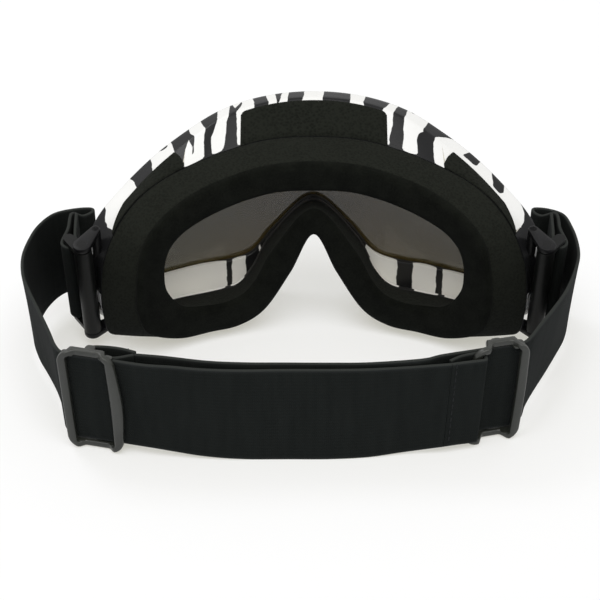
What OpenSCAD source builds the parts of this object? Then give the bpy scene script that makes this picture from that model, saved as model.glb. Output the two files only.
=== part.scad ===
// Full-view goggles on an adjustable elastic head strap.
// Right-handed frame: +X to the wearer's right, +Y forwards out of the lens, +Z up.
// The goggles stand on their cheeks and on the strap, all on the plane z = 0.

/* [Frame] */
// Width across the front rim
frame_w = 176; // [168:1:186]
// Height of the front rim above its feet
frame_h = 87; // [82:1:94]
// Radius that the front rim is bent to
rim_radius = 107; // [104:1:116]
// Distance from the wearer's side of the foam to the front of the rim
goggle_depth = 37; // [35:0.5:42]
// Depth of the rim's outer band
rim_depth = 7; // [6.5:0.5:9]
// Wall thickness of the moulded frame
wall = 2.4; // [1.8:0.1:3]
// How far the foam flange stands in from the rim at each side
flange_side_in = 7.5; // [6:0.5:10]
// How far the foam flange lies below the top of the rim
flange_top_drop = 10.5; // [9:0.5:14]
// Height of the flange's lower edge above the table
flange_lift = 3; // [2:0.5:5]
// Thickness of the foam flange
flange_t = 2.2; // [1.6:0.1:3]

/* [Lens] */
// Thickness of the lens
lens_t = 1.2; // [0.8:0.1:1.6]
// Gap between the lens and each side of its groove
lens_gap = 0.3; // [0.2:0.05:0.5]
// Room between the edge of the lens and the bottom of its groove, besides the gap
lens_play = 0.8; // [0.6:0.1:1.2]
// Depth of the groove round the lens
groove_depth = 4; // [3:0.25:5]
// Thickness of the lip in front of the lens
lip_t = 1.8; // [1.4:0.1:2.6]

/* [Face foam] */
// Radius that the wearer's side of the foam is curved to
face_radius = 97; // [92:1:102]
// Thickness of foam and fleece together
seal_t = 17; // [15:0.5:20]
// Thickness of the fleece on the wearer's side
fleece_t = 2.5; // [1.5:0.25:4]
// Half width of the foam at the wearer's side
seal_half_w = 66.5; // [63:0.5:69]
// Height of the foam's top at the wearer's side
seal_top = 72.7; // [70:0.5:75]
// Height of the foam's lower edge at the wearer's side
seal_bottom = 3.4; // [3:0.2:6]
// Width of the foam band round the eye opening
band_w = 12; // [10:0.5:13]

/* [Vents] */
// Gap between a vent foam and the edge of its window
vent_gap = 0.3; // [0.2:0.05:0.5]
// Thickness of the vent foams
vent_t = 4; // [3:0.5:5]
// How far the vent foams lie below the outside of the frame
vent_sink = 0.2; // [0.1:0.1:1]

/* [Strap] */
// Width of the webbing
strap_w = 37; // [36:0.5:40]
// Thickness of the webbing
strap_t = 1.2; // [1:0.1:1.4]
// Distance of the strap's back behind the face foam
strap_back = 86; // [80:1:95]
// How far the top edge of the webbing leans out beyond its lower edge at the sliders
strap_lean = 4; // [2:0.5:6]
// How far the left ear of the strap stands out beyond the rim
ear_left = 20; // [16:1:24]
// How far the right ear of the strap stands out beyond the rim
ear_right = 11; // [9:1:20]

/* [Hooks] */
// Height of the hooks' upper end
hook_top = 48.3; // [46:0.1:50]
// How far the hooks' lower end leans forwards, in degrees
hook_tilt = 14; // [12:0.5:15]
// Radius of the pin that a hook swings on
pin_r = 1.8; // [1.6:0.1:1.9]
// Running gap between pin and hook
pin_gap = 0.06; // [0.03:0.01:0.1]
// Wall of the hook round its pin
knuckle_wall = 1.5; // [1.3:0.1:1.6]
// Radius of the bar that the webbing is sewn round
bar_r = 1.5; // [1.2:0.1:1.8]
// Thickness of the hook's rails
rail_t = 1.8; // [1.6:0.1:2.4]
// Gap between the webbing and the rails above and below it
webbing_gap = 0.4; // [0.3:0.1:1]
// Thickness of the frame's lugs above and below a hook
lug_t = 2.2; // [1.8:0.1:3]

/* [Sliders] */
// Width of a slider along the webbing
slider_w = 20.5; // [19:0.5:22]
// Thickness of a slider's bars
slider_bar_t = 2.4; // [2:0.1:2.8]
// Width of a slider's outer bars
slider_bar_w = 3.2; // [2.6:0.1:3.6]
// Thickness of a slider's top and bottom rails
slider_rail = 2.4; // [2:0.1:3]

/* [Hidden] */
$fn = 64;

hw = frame_w / 2;
// Centre of each bend's upright axis, on the line x = 0
rim_yc = goggle_depth - rim_radius;
face_yc = -face_radius;
flange_radius = face_radius + seal_t;
// Where the rim's outside reaches the sides
side_y = rim_yc + sqrt(rim_radius * rim_radius - hw * hw);
// Half outlines from the top middle to the nose, as [share of half width, share of height]
rim_shape = [[0, 1], [0.22, 0.985], [0.41, 0.94], [0.565, 0.865], [0.7, 0.786], [0.825, 0.694],
             [0.93, 0.60], [0.99, 0.485], [1, 0.345], [0.99, 0.2], [0.92, 0.08], [0.75, 0.015],
             [0.52, 0], [0.36, 0.008], [0.24, 0.08], [0.15, 0.23], [0, 0.38]];
opening_shape = [[0, 0.905], [0.2, 0.89], [0.37, 0.845], [0.52, 0.775], [0.645, 0.7], [0.755, 0.61],
                 [0.84, 0.52], [0.885, 0.43], [0.895, 0.345], [0.88, 0.265], [0.815, 0.22], [0.68, 0.21],
                 [0.53, 0.208], [0.4, 0.205], [0.29, 0.235], [0.175, 0.365], [0, 0.505]];
flange_shape = [[0, 1], [0.225, 0.99], [0.42, 0.948], [0.584, 0.898], [0.72, 0.846], [0.832, 0.769],
                [0.92, 0.655], [0.98, 0.505], [1, 0.365], [1, 0.2], [0.965, 0.05], [0.8, 0],
                [0.57, 0], [0.4, 0.008], [0.275, 0.07], [0.16, 0.245], [0, 0.45]];
flange_in_shape = [[0, 0.845], [0.19, 0.838], [0.335, 0.808], [0.47, 0.767], [0.6, 0.722],
                   [0.71, 0.66], [0.79, 0.58], [0.84, 0.47], [0.855, 0.355], [0.845, 0.235],
                   [0.77, 0.145], [0.62, 0.13], [0.475, 0.13], [0.375, 0.15], [0.3, 0.238],
                   [0.205, 0.43], [0, 0.63]];
seal_shape = [[0, 1], [0.255, 0.987], [0.465, 0.947], [0.632, 0.9], [0.782, 0.831], [0.887, 0.752],
              [0.955, 0.658], [0.985, 0.543], [1, 0.413], [1, 0.268], [0.947, 0.11], [0.782, 0.012],
              [0.6, 0], [0.436, 0.009], [0.286, 0.095], [0.135, 0.32], [0, 0.557]];
port_shape = [[0, 1], [0.24, 0.995], [0.42, 0.955], [0.57, 0.905], [0.73, 0.835], [0.86, 0.755],
              [0.945, 0.655], [0.985, 0.545], [1, 0.41], [0.985, 0.235], [0.89, 0.055], [0.72, 0],
              [0.6, 0], [0.49, 0.05], [0.4, 0.175], [0.275, 0.455], [0, 0.83]];

rim = outline(rim_shape, hw, 0, frame_h);
opening = outline(opening_shape, hw, 0, frame_h);
flange = outline(flange_shape, hw - flange_side_in, flange_lift, frame_h - flange_top_drop);
flange_in = outline(flange_in_shape, hw - flange_side_in, flange_lift, frame_h - flange_top_drop);
seal = outline(seal_shape, seal_half_w, seal_bottom, seal_top);
port = outline(port_shape, seal_half_w - band_w + 2, seal_bottom + band_w, seal_top - band_w);

// Places along an outline are counted in its points: 0 is the top middle, 16 the nose
steps = 5;
count = 32 * steps;
top_vent_end = 1.6;
side_vent = [3.2, 6.2];
bottom_vent = [11.2, 13];
// Share of the sloping skin at which a window starts and ends, from rim to flange
window = [0.1, 0.9];
// Where the side windows start instead: they run out to a point at both ends
side_window = [[3.2, 0.8], [3.6, 0.06], [5.4, 0.06], [6.2, 0.8]];

// Mirrors a half outline and gives it its real size
function outline(shape, w, low, high) = let (n = len(shape) - 1) [
    for (i = [0:2 * n - 1])
        let (k = i <= n ? i : 2 * n - i, side = i <= n ? 1 : -1)
            [side * shape[k][0] * w, low + shape[k][1] * (high - low)]];

// Smooth curve through four points in a row, u running from the second to the third
function spline(a, b, c, d, u) =
    0.5 * (2 * b + (c - a) * u + (2 * a - 5 * b + 4 * c - d) * u * u
           + (3 * b - 3 * c + d - a) * u * u * u);

// Point at place t on a closed outline
function around(pts, t) = let (n = len(pts), i = floor(t), u = t - i)
    spline(pts[(i - 1 + n) % n], pts[(i + n) % n], pts[(i + 1) % n], pts[(i + 2) % n], u);

// The same point moved inwards by s
function inwards(pts, t, s) =
    let (d = around(pts, (t + 0.02) % 32) - around(pts, (t + 31.98) % 32), m = d / norm(d))
        around(pts, t) + s * [m[1], -m[0]];

// Wraps an outline point round the upright axis at y = yc, then moves it in by depth;
// what would dip below the table is flattened to a foot
function bend(p, r, yc, depth = 0) =
    let (k = (r - depth) / r) [p[0] * k, yc + k * sqrt(r * r - p[0] * p[0]), max(0, p[1])];

// Point on the frame's sloping skin: f from rim to flange, e inwards from the outside
function skin(t, f, e) =
    let (a = bend(inwards(rim, t, e), rim_radius, rim_yc, rim_depth),
         b = bend(inwards(flange, t, e), flange_radius, face_yc, -e / wall * flange_t))
        a + f * (b - a);

// Share of the skin at which the window starts at place t, with room of r for its foam
function window_start(t, r = 0) = let (k = t <= 16 ? t : 32 - t)
    k < side_vent[0] || k > side_vent[1] ? window[0]
    : max(lookup(k - r, side_window), lookup(k + r, side_window));

// Cross section of the frame at place t, once round
function frame_section(t) = let (slot = lens_t + 2 * lens_gap) [
    bend(around(rim, t), rim_radius, rim_yc),
    bend(around(opening, t), rim_radius, rim_yc),
    bend(around(opening, t), rim_radius, rim_yc, lip_t),
    bend(inwards(opening, t, -groove_depth), rim_radius, rim_yc, lip_t),
    bend(inwards(opening, t, -groove_depth), rim_radius, rim_yc, lip_t + slot),
    bend(around(opening, t), rim_radius, rim_yc, lip_t + slot),
    bend(around(opening, t), rim_radius, rim_yc, lip_t + slot + 2),
    bend(inwards(rim, t, wall), rim_radius, rim_yc, rim_depth - 0.6),
    skin(t, window_start(t), wall),
    skin(t, window[1], wall),
    bend(inwards(flange, t, wall), flange_radius, face_yc, -flange_t),
    bend(around(flange_in, t), flange_radius, face_yc, -flange_t),
    bend(around(flange_in, t), flange_radius, face_yc),
    bend(around(flange, t), flange_radius, face_yc),
    skin(t, window[1], 0),
    skin(t, window_start(t), 0),
    bend(around(rim, t), rim_radius, rim_yc, rim_depth)];

// Is the skin open between places t and t + 1 / steps
function opened(t) = let (m = t + 0.5 / steps, k = m <= 16 ? m : 32 - m)
    k < top_vent_end || (k > side_vent[0] && k < side_vent[1])
    || (k > bottom_vent[0] && k < bottom_vent[1] && abs(k - 12) > 0.2);

// Closed ring of sections with windows where opened(t) holds, at the inner and outer columns
// win; the quads of the columns in turned are cut along their other diagonal, to match a
// surface that they lie against
module ring(sections, win = undef, turned = []) {
    n = len(sections);
    m = len(sections[0]);
    pts = [for (s = sections) for (p = s) p];
    is_open = [for (i = [0:n - 1]) win != undef && opened(i / steps)];
    // Columns of the window on the inner skin and on the outer skin
    ia = win == undef ? -1 : win[0];
    oa = win == undef ? -1 : win[1];
    sides = [for (i = [0:n - 1]) for (j = [0:m - 1])
        if (!(is_open[i] && (j == ia || j == oa)))
            let (a = i * m + j, b = i * m + (j + 1) % m,
                 d = (i + 1) % n * m + j, c = (i + 1) % n * m + (j + 1) % m)
                each (len(search(j, turned)) > 0 ? [[a, b, d], [b, c, d]]
                                                 : [[a, c, d], [a, b, c]])];
    // Edges of the windows: front and back, then the two ends
    along = [for (i = [0:n - 1]) if (is_open[i])
        let (a = i * m, b = ((i + 1) % n) * m)
            each [[a + ia, b + oa + 1, b + ia], [a + ia, a + oa + 1, b + oa + 1],
                  [a + oa, b + ia + 1, b + oa], [a + oa, a + ia + 1, b + ia + 1]]];
    ends = [for (i = [0:n - 1]) let (p = (i - 1 + n) % n, a = i * m)
        if (is_open[i] != is_open[p])
            let (q = [a + ia, a + oa + 1, a + oa, a + ia + 1])
                each (is_open[i] ? [[q[2], q[1], q[0]], [q[3], q[2], q[0]]]
                                 : [[q[0], q[1], q[2]], [q[0], q[2], q[3]]])];
    polyhedron(points = pts, faces = concat(sides, along, ends), convexity = 10);
}

// Closed block between two grids of points with the same rows and columns
module slab(top, under) {
    n = len(top);
    m = len(top[0]);
    pts = concat([for (r = top) for (p = r) p], [for (r = under) for (p = r) p]);
    k = n * m;
    flat = [for (i = [0:n - 2]) for (j = [0:m - 2]) let (a = i * m + j, b = a + 1, c = a + m, d = c + 1)
        each [[a, c, d], [a, d, b], [k + a, k + d, k + c], [k + a, k + b, k + d]]];
    edge = concat([for (j = [0:m - 1]) j], [for (i = [1:n - 1]) i * m + m - 1],
                  [for (j = [m - 2:-1:0]) (n - 1) * m + j], [for (i = [n - 2:-1:1]) i * m]);
    e = len(edge);
    rims = [for (i = [0:e - 1]) let (a = edge[i], b = edge[(i + 1) % e])
        each [[a, b, k + b], [a, k + b, k + a]]];
    polyhedron(points = pts, faces = concat(flat, rims), convexity = 10);
}

module placed() {
    translate(shift)
        children();
}

// The moulded frame: rim with its lens groove, sloping skin with vent windows, foam flange
// and at each side two lugs on a rib, which hold a hook's pin
module frame_shell() {
    color("whitesmoke") placed() {
        ring([for (i = [0:count - 1]) frame_section(i / steps)], [8, 14]);
        side_lugs(-1);
        side_lugs(1);
    }
}

// The lens, bent to the rim's radius and let into its groove
module lens() {
    front = rim_radius - lip_t - lens_gap;
    edge = [for (i = [0:63]) inwards(opening, i / 2, lens_gap + lens_play - groove_depth)];
    color([0.3, 0.27, 0.22, 0.6]) placed()
        intersection() {
            translate([0, rim_yc, 0])
                difference() {
                    cylinder(r = front, h = frame_h, $fn = 180);
                    translate([0, 0, -1])
                        cylinder(r = front - lens_t, h = frame_h + 2, $fn = 180);
                }
            rotate([90, 0, 0])
                translate([0, 0, -goggle_depth])
                    linear_extrude(rim_radius)
                        polygon([for (p = edge) [p[0] * front / rim_radius, p[1]]]);
        }
}

// Foam of a vent, seated in the window from place t0 to t1
module vent_foam(t0, t1) {
    n = max(2, round((t1 - t0) * steps));
    inset = vent_gap / 10;
    grid = function (e) [for (i = [0:n])
        let (t = (t0 + inset + (t1 - t0 - 2 * inset) * i / n + 32) % 32,
             start = window_start(t, inset) + 0.02)
            [for (j = [0:2]) skin(t, start + (window[1] - 0.02 - start) * j / 2, e)]];
    color([0.08, 0.08, 0.08]) placed()
        slab(grid(vent_sink), grid(vent_sink + vent_t));
}

module top_vent_foam() { vent_foam(-top_vent_end, top_vent_end); }
module side_vent_foam_right() { vent_foam(side_vent[0], side_vent[1]); }
module side_vent_foam_left() { vent_foam(32 - side_vent[1], 32 - side_vent[0]); }
module bottom_vent_foam_right() {
    vent_foam(bottom_vent[0], 12 - 0.25);
    vent_foam(12 + 0.25, bottom_vent[1]);
}
module bottom_vent_foam_left() {
    vent_foam(32 - bottom_vent[1], 20 - 0.25);
    vent_foam(20 + 0.25, 32 - bottom_vent[0]);
}

// Point on the foam's side between the flange and the face: f from 0 to 1, bulged by b
function foam_side(a, b, t, f, bulge) =
    let (p = bend(inwards(a, t, -bulge), flange_radius, face_yc),
         q = bend(inwards(b, t, -bulge), face_radius + fleece_t, face_yc))
        p + f * (q - p);

// Open-cell foam between the flange and the fleece
module face_foam() {
    sections = [for (i = [0:count - 1]) let (t = i / steps) [
        foam_side(flange, seal, t, 0, 0),
        foam_side(flange_in, port, t, 0, 0),
        foam_side(flange_in, port, t, 0.5, -0.4),
        foam_side(flange_in, port, t, 1, 0),
        foam_side(flange, seal, t, 1, 0),
        foam_side(flange, seal, t, 0.5, 0.5)]];
    color([0.11, 0.12, 0.1]) placed()
        ring(sections, turned = [0, 3]);
}

// Fleece that lies against the face
module face_fleece() {
    sections = [for (i = [0:count - 1]) let (t = i / steps) [
        bend(around(seal, t), face_radius + fleece_t, face_yc),
        bend(around(port, t), face_radius + fleece_t, face_yc),
        bend(inwards(port, t, -0.4), face_radius + fleece_t * 0.45, face_yc),
        bend(inwards(port, t, -2), face_radius, face_yc),
        bend(inwards(seal, t, 2.4), face_radius, face_yc),
        bend(inwards(seal, t, 0.6), face_radius + fleece_t * 0.45, face_yc)]];
    color([0.16, 0.17, 0.15]) placed()
        ring(sections);
}

// Hooks, each built upright and then tilted about its upper end
pin_x = hw - 2.5;
hook_y = side_y - 12.4;
hook_h = strap_w + 2 * (webbing_gap + rail_t);
knuckle_r = pin_r + pin_gap + knuckle_wall;
bar_x = hw + 3.4;
bar_y = 6.5;
lug_gap = 0.3;
lug_r = pin_r + 1.6;
rib_r = 1.9;
// Where the lugs meet the rim, across and forwards of the pin
upper_rib = [-4, 8.6];
lower_rib = [-8.7, 6.6];

// Puts a hook's own frame in place: z = 0 at its lower end, y = 0 at the pin
module at_hook() {
    translate([0, hook_y, hook_top])
        rotate([hook_tilt, 0, 0])
            translate([0, 0, -hook_h])
                children();
}

// Point of a hook's own frame in the goggles' frame
function hooked(x, y, z) = let (d = z - hook_h)
    [x, hook_y + y * cos(hook_tilt) - d * sin(hook_tilt),
     hook_top + y * sin(hook_tilt) + d * cos(hook_tilt)];

// Flat link between two round ends
module link(a, ra, b, rb, h) {
    linear_extrude(h)
        hull() {
            translate(a)
                circle(r = ra, $fn = 32);
            translate(b)
                circle(r = rb, $fn = 24);
        }
}

// Lugs above and below a hook, which hold its pin
module side_lugs(side) {
    pin_at = [side * pin_x, 0];
    upper = [side * (pin_x + upper_rib[0]), upper_rib[1]];
    lower = [side * (pin_x + lower_rib[0]), lower_rib[1]];
    at_hook()
        difference() {
            union() {
                translate([0, 0, hook_h + lug_gap])
                    link(pin_at, lug_r, upper, rib_r, lug_t);
                translate([upper[0], upper[1], hook_h - 11])
                    cylinder(r = rib_r, h = 11 + lug_gap + lug_t, $fn = 24);
                translate([0, 0, -lug_gap - lug_t])
                    link(pin_at, lug_r, lower, rib_r, lug_t);
            }
            translate([pin_at[0], 0, -lug_gap - lug_t - 1])
                cylinder(r = pin_r, h = hook_h + 2 * (lug_gap + lug_t + 1));
        }
}

// Pin pressed into both lugs, on which the hook swings
module hook_pin(side) {
    color([0.2, 0.2, 0.2]) placed()
        at_hook()
            translate([side * pin_x, 0, -lug_gap - lug_t])
                cylinder(r = pin_r, h = hook_h + 2 * (lug_gap + lug_t));
}

// Plastic hook: knuckle on the pin, two rails and the bar that the webbing is sewn round
module hook(side) {
    color([0.13, 0.13, 0.13]) placed()
        at_hook()
            difference() {
                union() {
                    translate([side * pin_x, 0, 0])
                        cylinder(r = knuckle_r, h = hook_h);
                    for (z = [0, hook_h - rail_t])
                        translate([0, 0, z])
                            link([side * pin_x, 0], knuckle_r - 0.4,
                                 [side * bar_x, bar_y], bar_r + 0.5, rail_t);
                    translate([side * bar_x, bar_y, rail_t / 2])
                        cylinder(r = bar_r, h = hook_h - rail_t);
                }
                translate([side * pin_x, 0, -1])
                    cylinder(r = pin_r + pin_gap, h = hook_h + 2);
            }
}

module hook_pin_left() { hook_pin(-1); }
module hook_pin_right() { hook_pin(1); }
module hook_left() { hook(-1); }
module hook_right() { hook(1); }

// Sliders: middle of each, on the webbing that runs straight through it, and its heading
left_at = [12 - hw, 7.4 - strap_back];
left_turn = -15;
right_at = [hw - 27, 13.8 - strap_back];
right_turn = 16;
slider_corner = 5;
window_corner = 0.4;
slider_h = strap_w + 2 * (slider_rail + webbing_gap);
tilt = asin(strap_lean / strap_w);
// Offset outwards from the webbing's middle to a slider's outer bars
left_bar_v = strap_t / 2 + 0.3 + slider_bar_t / 2;
right_bar_v = left_bar_v + strap_t + 0.3;
// The middle bar lies inside the webbing, and at the left the fold goes between them
left_mid_v = -(strap_t * 1.5 + 0.6 + slider_bar_t / 2);
right_mid_v = -(strap_t / 2 + 0.3 + slider_bar_t / 2);
// Height of the webbing's lower edge in the middle of the sliders, which rest on the table
strap_low = (slider_rail + webbing_gap) * cos(tilt) + (right_bar_v + slider_bar_t / 2) * sin(tilt);

// Plan point at u along a slider and v outwards from the webbing that runs through it
function slider_point(at, turn, u, v) =
    [at[0] + u * cos(turn) + v * sin(turn), at[1] + u * sin(turn) - v * cos(turn)];

// How far the left slider, the rearmost piece, reaches back
back_u = -sin(left_turn);
back_z = sin(tilt) * cos(left_turn);
reach_back = (slider_w / 2 - slider_corner) * back_u + (slider_h / 2 - slider_corner) * back_z
    + slider_corner * norm([back_u, back_z]) + strap_w / 2 * back_z - left_at[1]
    + (left_bar_v + slider_bar_t / 2) * cos(left_turn) * cos(tilt);
// The part's origin is under the middle of its bounding box
reach_left = hw + ear_left + strap_t / 2;
reach_right = hw + ear_right + strap_t / 2;
shift = [(reach_left - reach_right) / 2, (reach_back - goggle_depth) / 2, 0];

// Rounded rectangle in a slider's plane
module rounded(w, h, r) {
    hull()
        for (x = [-1, 1], y = [-1, 1])
            translate([x * (w / 2 - r), y * (h / 2 - r)])
                circle(r = r, $fn = 32);
}

// One slider: a rounded frame outside the webbing and a middle bar inside it,
// joined above and below the webbing
module slider(at, turn, bar_v, mid_v) {
    joint_h = slider_rail + 0.6;
    color([0.24, 0.24, 0.23]) placed()
        translate([at[0], at[1], strap_low])
            rotate([0, 0, turn])
                rotate([tilt, 0, 0])
                    translate([0, 0, strap_w / 2]) {
                        translate([0, slider_bar_t / 2 - bar_v, 0])
                            rotate([90, 0, 0])
                                linear_extrude(slider_bar_t)
                                    difference() {
                                        rounded(slider_w, slider_h, slider_corner);
                                        rounded(slider_w - 2 * slider_bar_w,
                                                slider_h - 2 * slider_rail, window_corner);
                                    }
                        translate([0, -mid_v, joint_h / 2 - slider_h / 2])
                            cylinder(r = slider_bar_t / 2, h = slider_h - joint_h);
                        for (side = [-1, 1])
                            translate([0, -(bar_v + mid_v) / 2, side * (slider_h - slider_rail) / 2])
                                cube([slider_bar_t + 1.2, bar_v - mid_v + slider_bar_t - 0.6,
                                      slider_rail - 0.2], center = true);
                    }
}

module slider_left() { slider(left_at, left_turn, left_bar_v, left_mid_v); }
module slider_right() { slider(right_at, right_turn, right_bar_v, right_mid_v); }

// Webbing: each route is a list of [x, y, height of the lower edge, x and y offset of the top
// edge from the lower one], chosen by hand along the lower edge
function seat(at, turn, u, v) =
    concat(slider_point(at, turn, u, v), [strap_low - v * sin(tilt)],
           strap_lean * [sin(turn), -cos(turn)]);
function left_seat(u, v) = seat(left_at, left_turn, u, v);
function right_seat(u, v) = seat(right_at, right_turn, u, v);

// From the sewn tail round the hook's bar and along the side of the frame
wrap_r = bar_r + 0.6 + strap_t / 2;
web_z = rail_t + webbing_gap;
hook_lean = [0, -strap_w * sin(hook_tilt)];
function hook_route(s) = [
    concat(hooked(s * (bar_x - 0.9), bar_y + 14, web_z), hook_lean * 0.7),
    concat(hooked(s * (bar_x - 1.4), bar_y + 7.5, web_z), hook_lean * 0.9),
    concat(hooked(s * (bar_x - 1.9), bar_y + 3.2, web_z), hook_lean),
    concat(hooked(s * (bar_x - wrap_r), bar_y, web_z), hook_lean),
    concat(hooked(s * bar_x, bar_y - wrap_r, web_z), hook_lean),
    concat(hooked(s * (bar_x + wrap_r), bar_y, web_z), hook_lean),
    concat(hooked(s * (bar_x + 1.3), bar_y + 7, web_z), hook_lean * 0.9),
    concat(hooked(s * (bar_x + 0.8), bar_y + 14, web_z), hook_lean * 0.7)];

left_route = concat(hook_route(-1), [
    [-hw - 0.6, side_y + 20.2, 11.8, 0, -5],
    [-hw + 2.4, side_y + 24, 11.2, 0, -4],
    [-hw + 1, side_y + 26.5, 10.8, 0, -3.4],
    [-hw - 5.5, side_y + 25.8, 10.2, -0.2, -2.6],
    [-hw - 12.5, side_y + 21.6, 9.6, -0.3, -1.4],
    [-hw - ear_left + 2.8, side_y + 12.4, 8.8, -0.3, -0.4],
    [-hw - ear_left + 0.9, side_y + 1.1, 8, -0.6, 0],
    [-hw - ear_left + 1.5, side_y - 10.9, 7.2, -1.8, 0.4],
    [-hw - ear_left + 5.4, -strap_back + 54, 6.5, -3.6, -0.4],
    [-hw - ear_left + 10.4, -strap_back + 43.5, 5.9, -4.4, -1.4],
    [-hw - ear_left + 15, -strap_back + 33, 5.3, -4.2, -2.4],
    [-hw - ear_left + 18.6, -strap_back + 22, 4.7, -3, -3.2],
    left_seat(-13, -3.2),
    left_seat(-8.6, -0.2)]);

outer_route = [
    left_seat(-8.6, -0.2),
    left_seat(-2, 0),
    left_seat(8, 0),
    left_seat(20, 0),
    [-hw + 40, -strap_back + 1.1, 2.3, 0, -2.6],
    [-hw + 48, -strap_back + 0.3, 1.3, 0, -1.7],
    [-hw + 57, -strap_back - 0.1, 0.5, 0, -0.8],
    [-hw + 67, -strap_back - 0.1, 0, 0, -0.2],
    [-hw + 78, -strap_back, 0, 0, 0],
    [4, -strap_back, 0, 0, 0],
    [18, -strap_back + 0.9, 0.2, 0, -0.8],
    [30, -strap_back + 2.8, 0.9, 0.8, -2.4],
    right_seat(-19, 5.3)];

right_route = concat(hook_route(1), [
    [hw - 0.6, side_y + 20.2, 11.8, 0, -5],
    [hw - 3, side_y + 24, 11.2, 0, -4],
    [hw - 1.8, side_y + 26.5, 10.8, 0, -3.4],
    [hw + 3.4, side_y + 25.7, 10.2, 0.2, -2.6],
    [hw + ear_right - 2.4, side_y + 21, 9.6, 0.2, -1.4],
    [hw + ear_right - 0.4, side_y + 11, 8.8, 0, 0],
    [hw + ear_right - 1, side_y + 0.6, 8, 1.2, 0.5],
    [hw + ear_right - 3.8, side_y - 9.9, 7.3, 3.2, 0.6],
    [hw + ear_right - 8.8, -strap_back + 56, 6.7, 4.8, -0.4],
    [hw + ear_right - 14.2, -strap_back + 45, 6, 5.2, -1.8],
    [hw + ear_right - 19.6, -strap_back + 34.5, 5.3, 4.4, -2.8],
    [hw + ear_right - 23.8, -strap_back + 25.5, 4.8, 3, -3.4],
    right_seat(13.4, -2.6),
    right_seat(9.2, -0.1)]);

inner_route = [
    right_seat(9.2, -0.1),
    right_seat(2, 0),
    right_seat(-8, 0),
    right_seat(-20, 0),
    right_seat(-28, 0.6),
    [18, -strap_back + 3.9, 1, 0.4, -1.2],
    [4, -strap_back + 2.9, 0.7, 0, 0],
    [-hw + 77, -strap_back + 3, 0.7, 0, 0],
    [-hw + 64, -strap_back + 3.8, 0.9, 0, -1],
    [-hw + 51, -strap_back + 5.2, 1.5, 0, -2.2],
    left_seat(25, -5.6),
    left_seat(15.3, -4.7)];

fold_r = slider_bar_t / 2 + 0.3 + strap_t / 2;
left_fold_route = [
    left_seat(15, -4.5),
    left_seat(9, left_mid_v + fold_r + 0.1),
    left_seat(4, left_mid_v + fold_r),
    left_seat(0, left_mid_v + fold_r),
    left_seat(-fold_r, left_mid_v),
    left_seat(0, left_mid_v - fold_r),
    left_seat(5, left_mid_v - fold_r - 0.9),
    left_seat(10, left_mid_v - fold_r - 1),
    left_seat(15, -6)];

right_bar_u = -(slider_w - slider_bar_w) / 2;
side_r = slider_bar_w / 2 + 0.3 + strap_t / 2;
// How nearly square the webbing turns round that bar
corner_share = 0.88;
right_fold_route = [
    right_seat(-18.6, 5.3),
    right_seat(-14, 5.4),
    right_seat(right_bar_u, right_bar_v + fold_r),
    right_seat(right_bar_u + side_r * corner_share, right_bar_v + fold_r * corner_share),
    right_seat(right_bar_u + side_r, right_bar_v),
    right_seat(right_bar_u + side_r * corner_share, right_bar_v - fold_r * corner_share),
    right_seat(right_bar_u, right_bar_v - fold_r),
    right_seat(-14, 1.9),
    right_seat(-18.6, 3.4)];

// Point at place t along an open route
function along(pts, t) =
    let (n = len(pts), i = min(floor(t), n - 2), u = t - i,
         a = i > 0 ? pts[i - 1] : 2 * pts[0] - pts[1],
         d = i < n - 2 ? pts[i + 2] : 2 * pts[n - 1] - pts[n - 2])
        spline(a, pts[i], pts[i + 1], d, u);

// Webbing on edge along a route from place t0 to t1, with k sections between points
module webbing(pts, t0, t1, k = 4) {
    n = round((t1 - t0) * k);
    edges = [for (i = [0:n])
        let (t = t0 + (t1 - t0) * i / n,
             p = along(pts, t),
             d = along(pts, min(t + 0.01, len(pts) - 1)) - along(pts, max(t - 0.01, 0)),
             up = [p[3], p[4], sqrt(strap_w * strap_w - p[3] * p[3] - p[4] * p[4])],
             flat = cross(up, [d[0], d[1], d[2]]),
             m = flat / norm(flat) * strap_t / 2,
             foot = [p[0], p[1], max(abs(m[2]), p[2])])
            [foot + m, foot + m + up, foot - m + up, foot - m]];
    corners = [for (e = edges) for (p = e) p];
    sides = [for (i = [0:n - 1]) for (j = [0:3])
        let (a = i * 4, b = a + 4, j2 = (j + 1) % 4)
            each [[a + j, b + j, b + j2], [a + j, b + j2, a + j2]]];
    ends = [[0, 1, 2], [0, 2, 3], [4 * n + 2, 4 * n + 1, 4 * n], [4 * n + 3, 4 * n + 2, 4 * n]];
    color([0.1, 0.1, 0.11]) placed()
        polyhedron(points = corners, faces = concat(sides, ends), convexity = 10);
}

// Places on the routes where the sides of the strap begin
left_split = 14;
right_split = 13;
// Each length of webbing in one piece, so that its nodes meet in the same cross section
left_length = concat(left_route, [for (i = [1:len(outer_route) - 1]) outer_route[i]]);
right_length = concat(right_route, [for (i = [1:len(inner_route) - 1]) inner_route[i]]);
left_end = len(left_route) - 1;
right_end = len(right_route) - 1;

module strap_front_left() { webbing(left_length, 0, left_split); }
module strap_front_right() { webbing(right_length, 0, right_split); }
module strap_side_left() { webbing(left_length, left_split, left_end); }
module strap_side_right() { webbing(right_length, right_split, right_end); }
module strap_rear_outer() { webbing(left_length, left_end, len(left_length) - 1); }
module strap_rear_inner() { webbing(right_length, right_end, len(right_length) - 1); }
module strap_fold_left() { webbing(left_fold_route, 0, len(left_fold_route) - 1); }
module strap_fold_right() { webbing(right_fold_route, 0, len(right_fold_route) - 1); }

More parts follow.
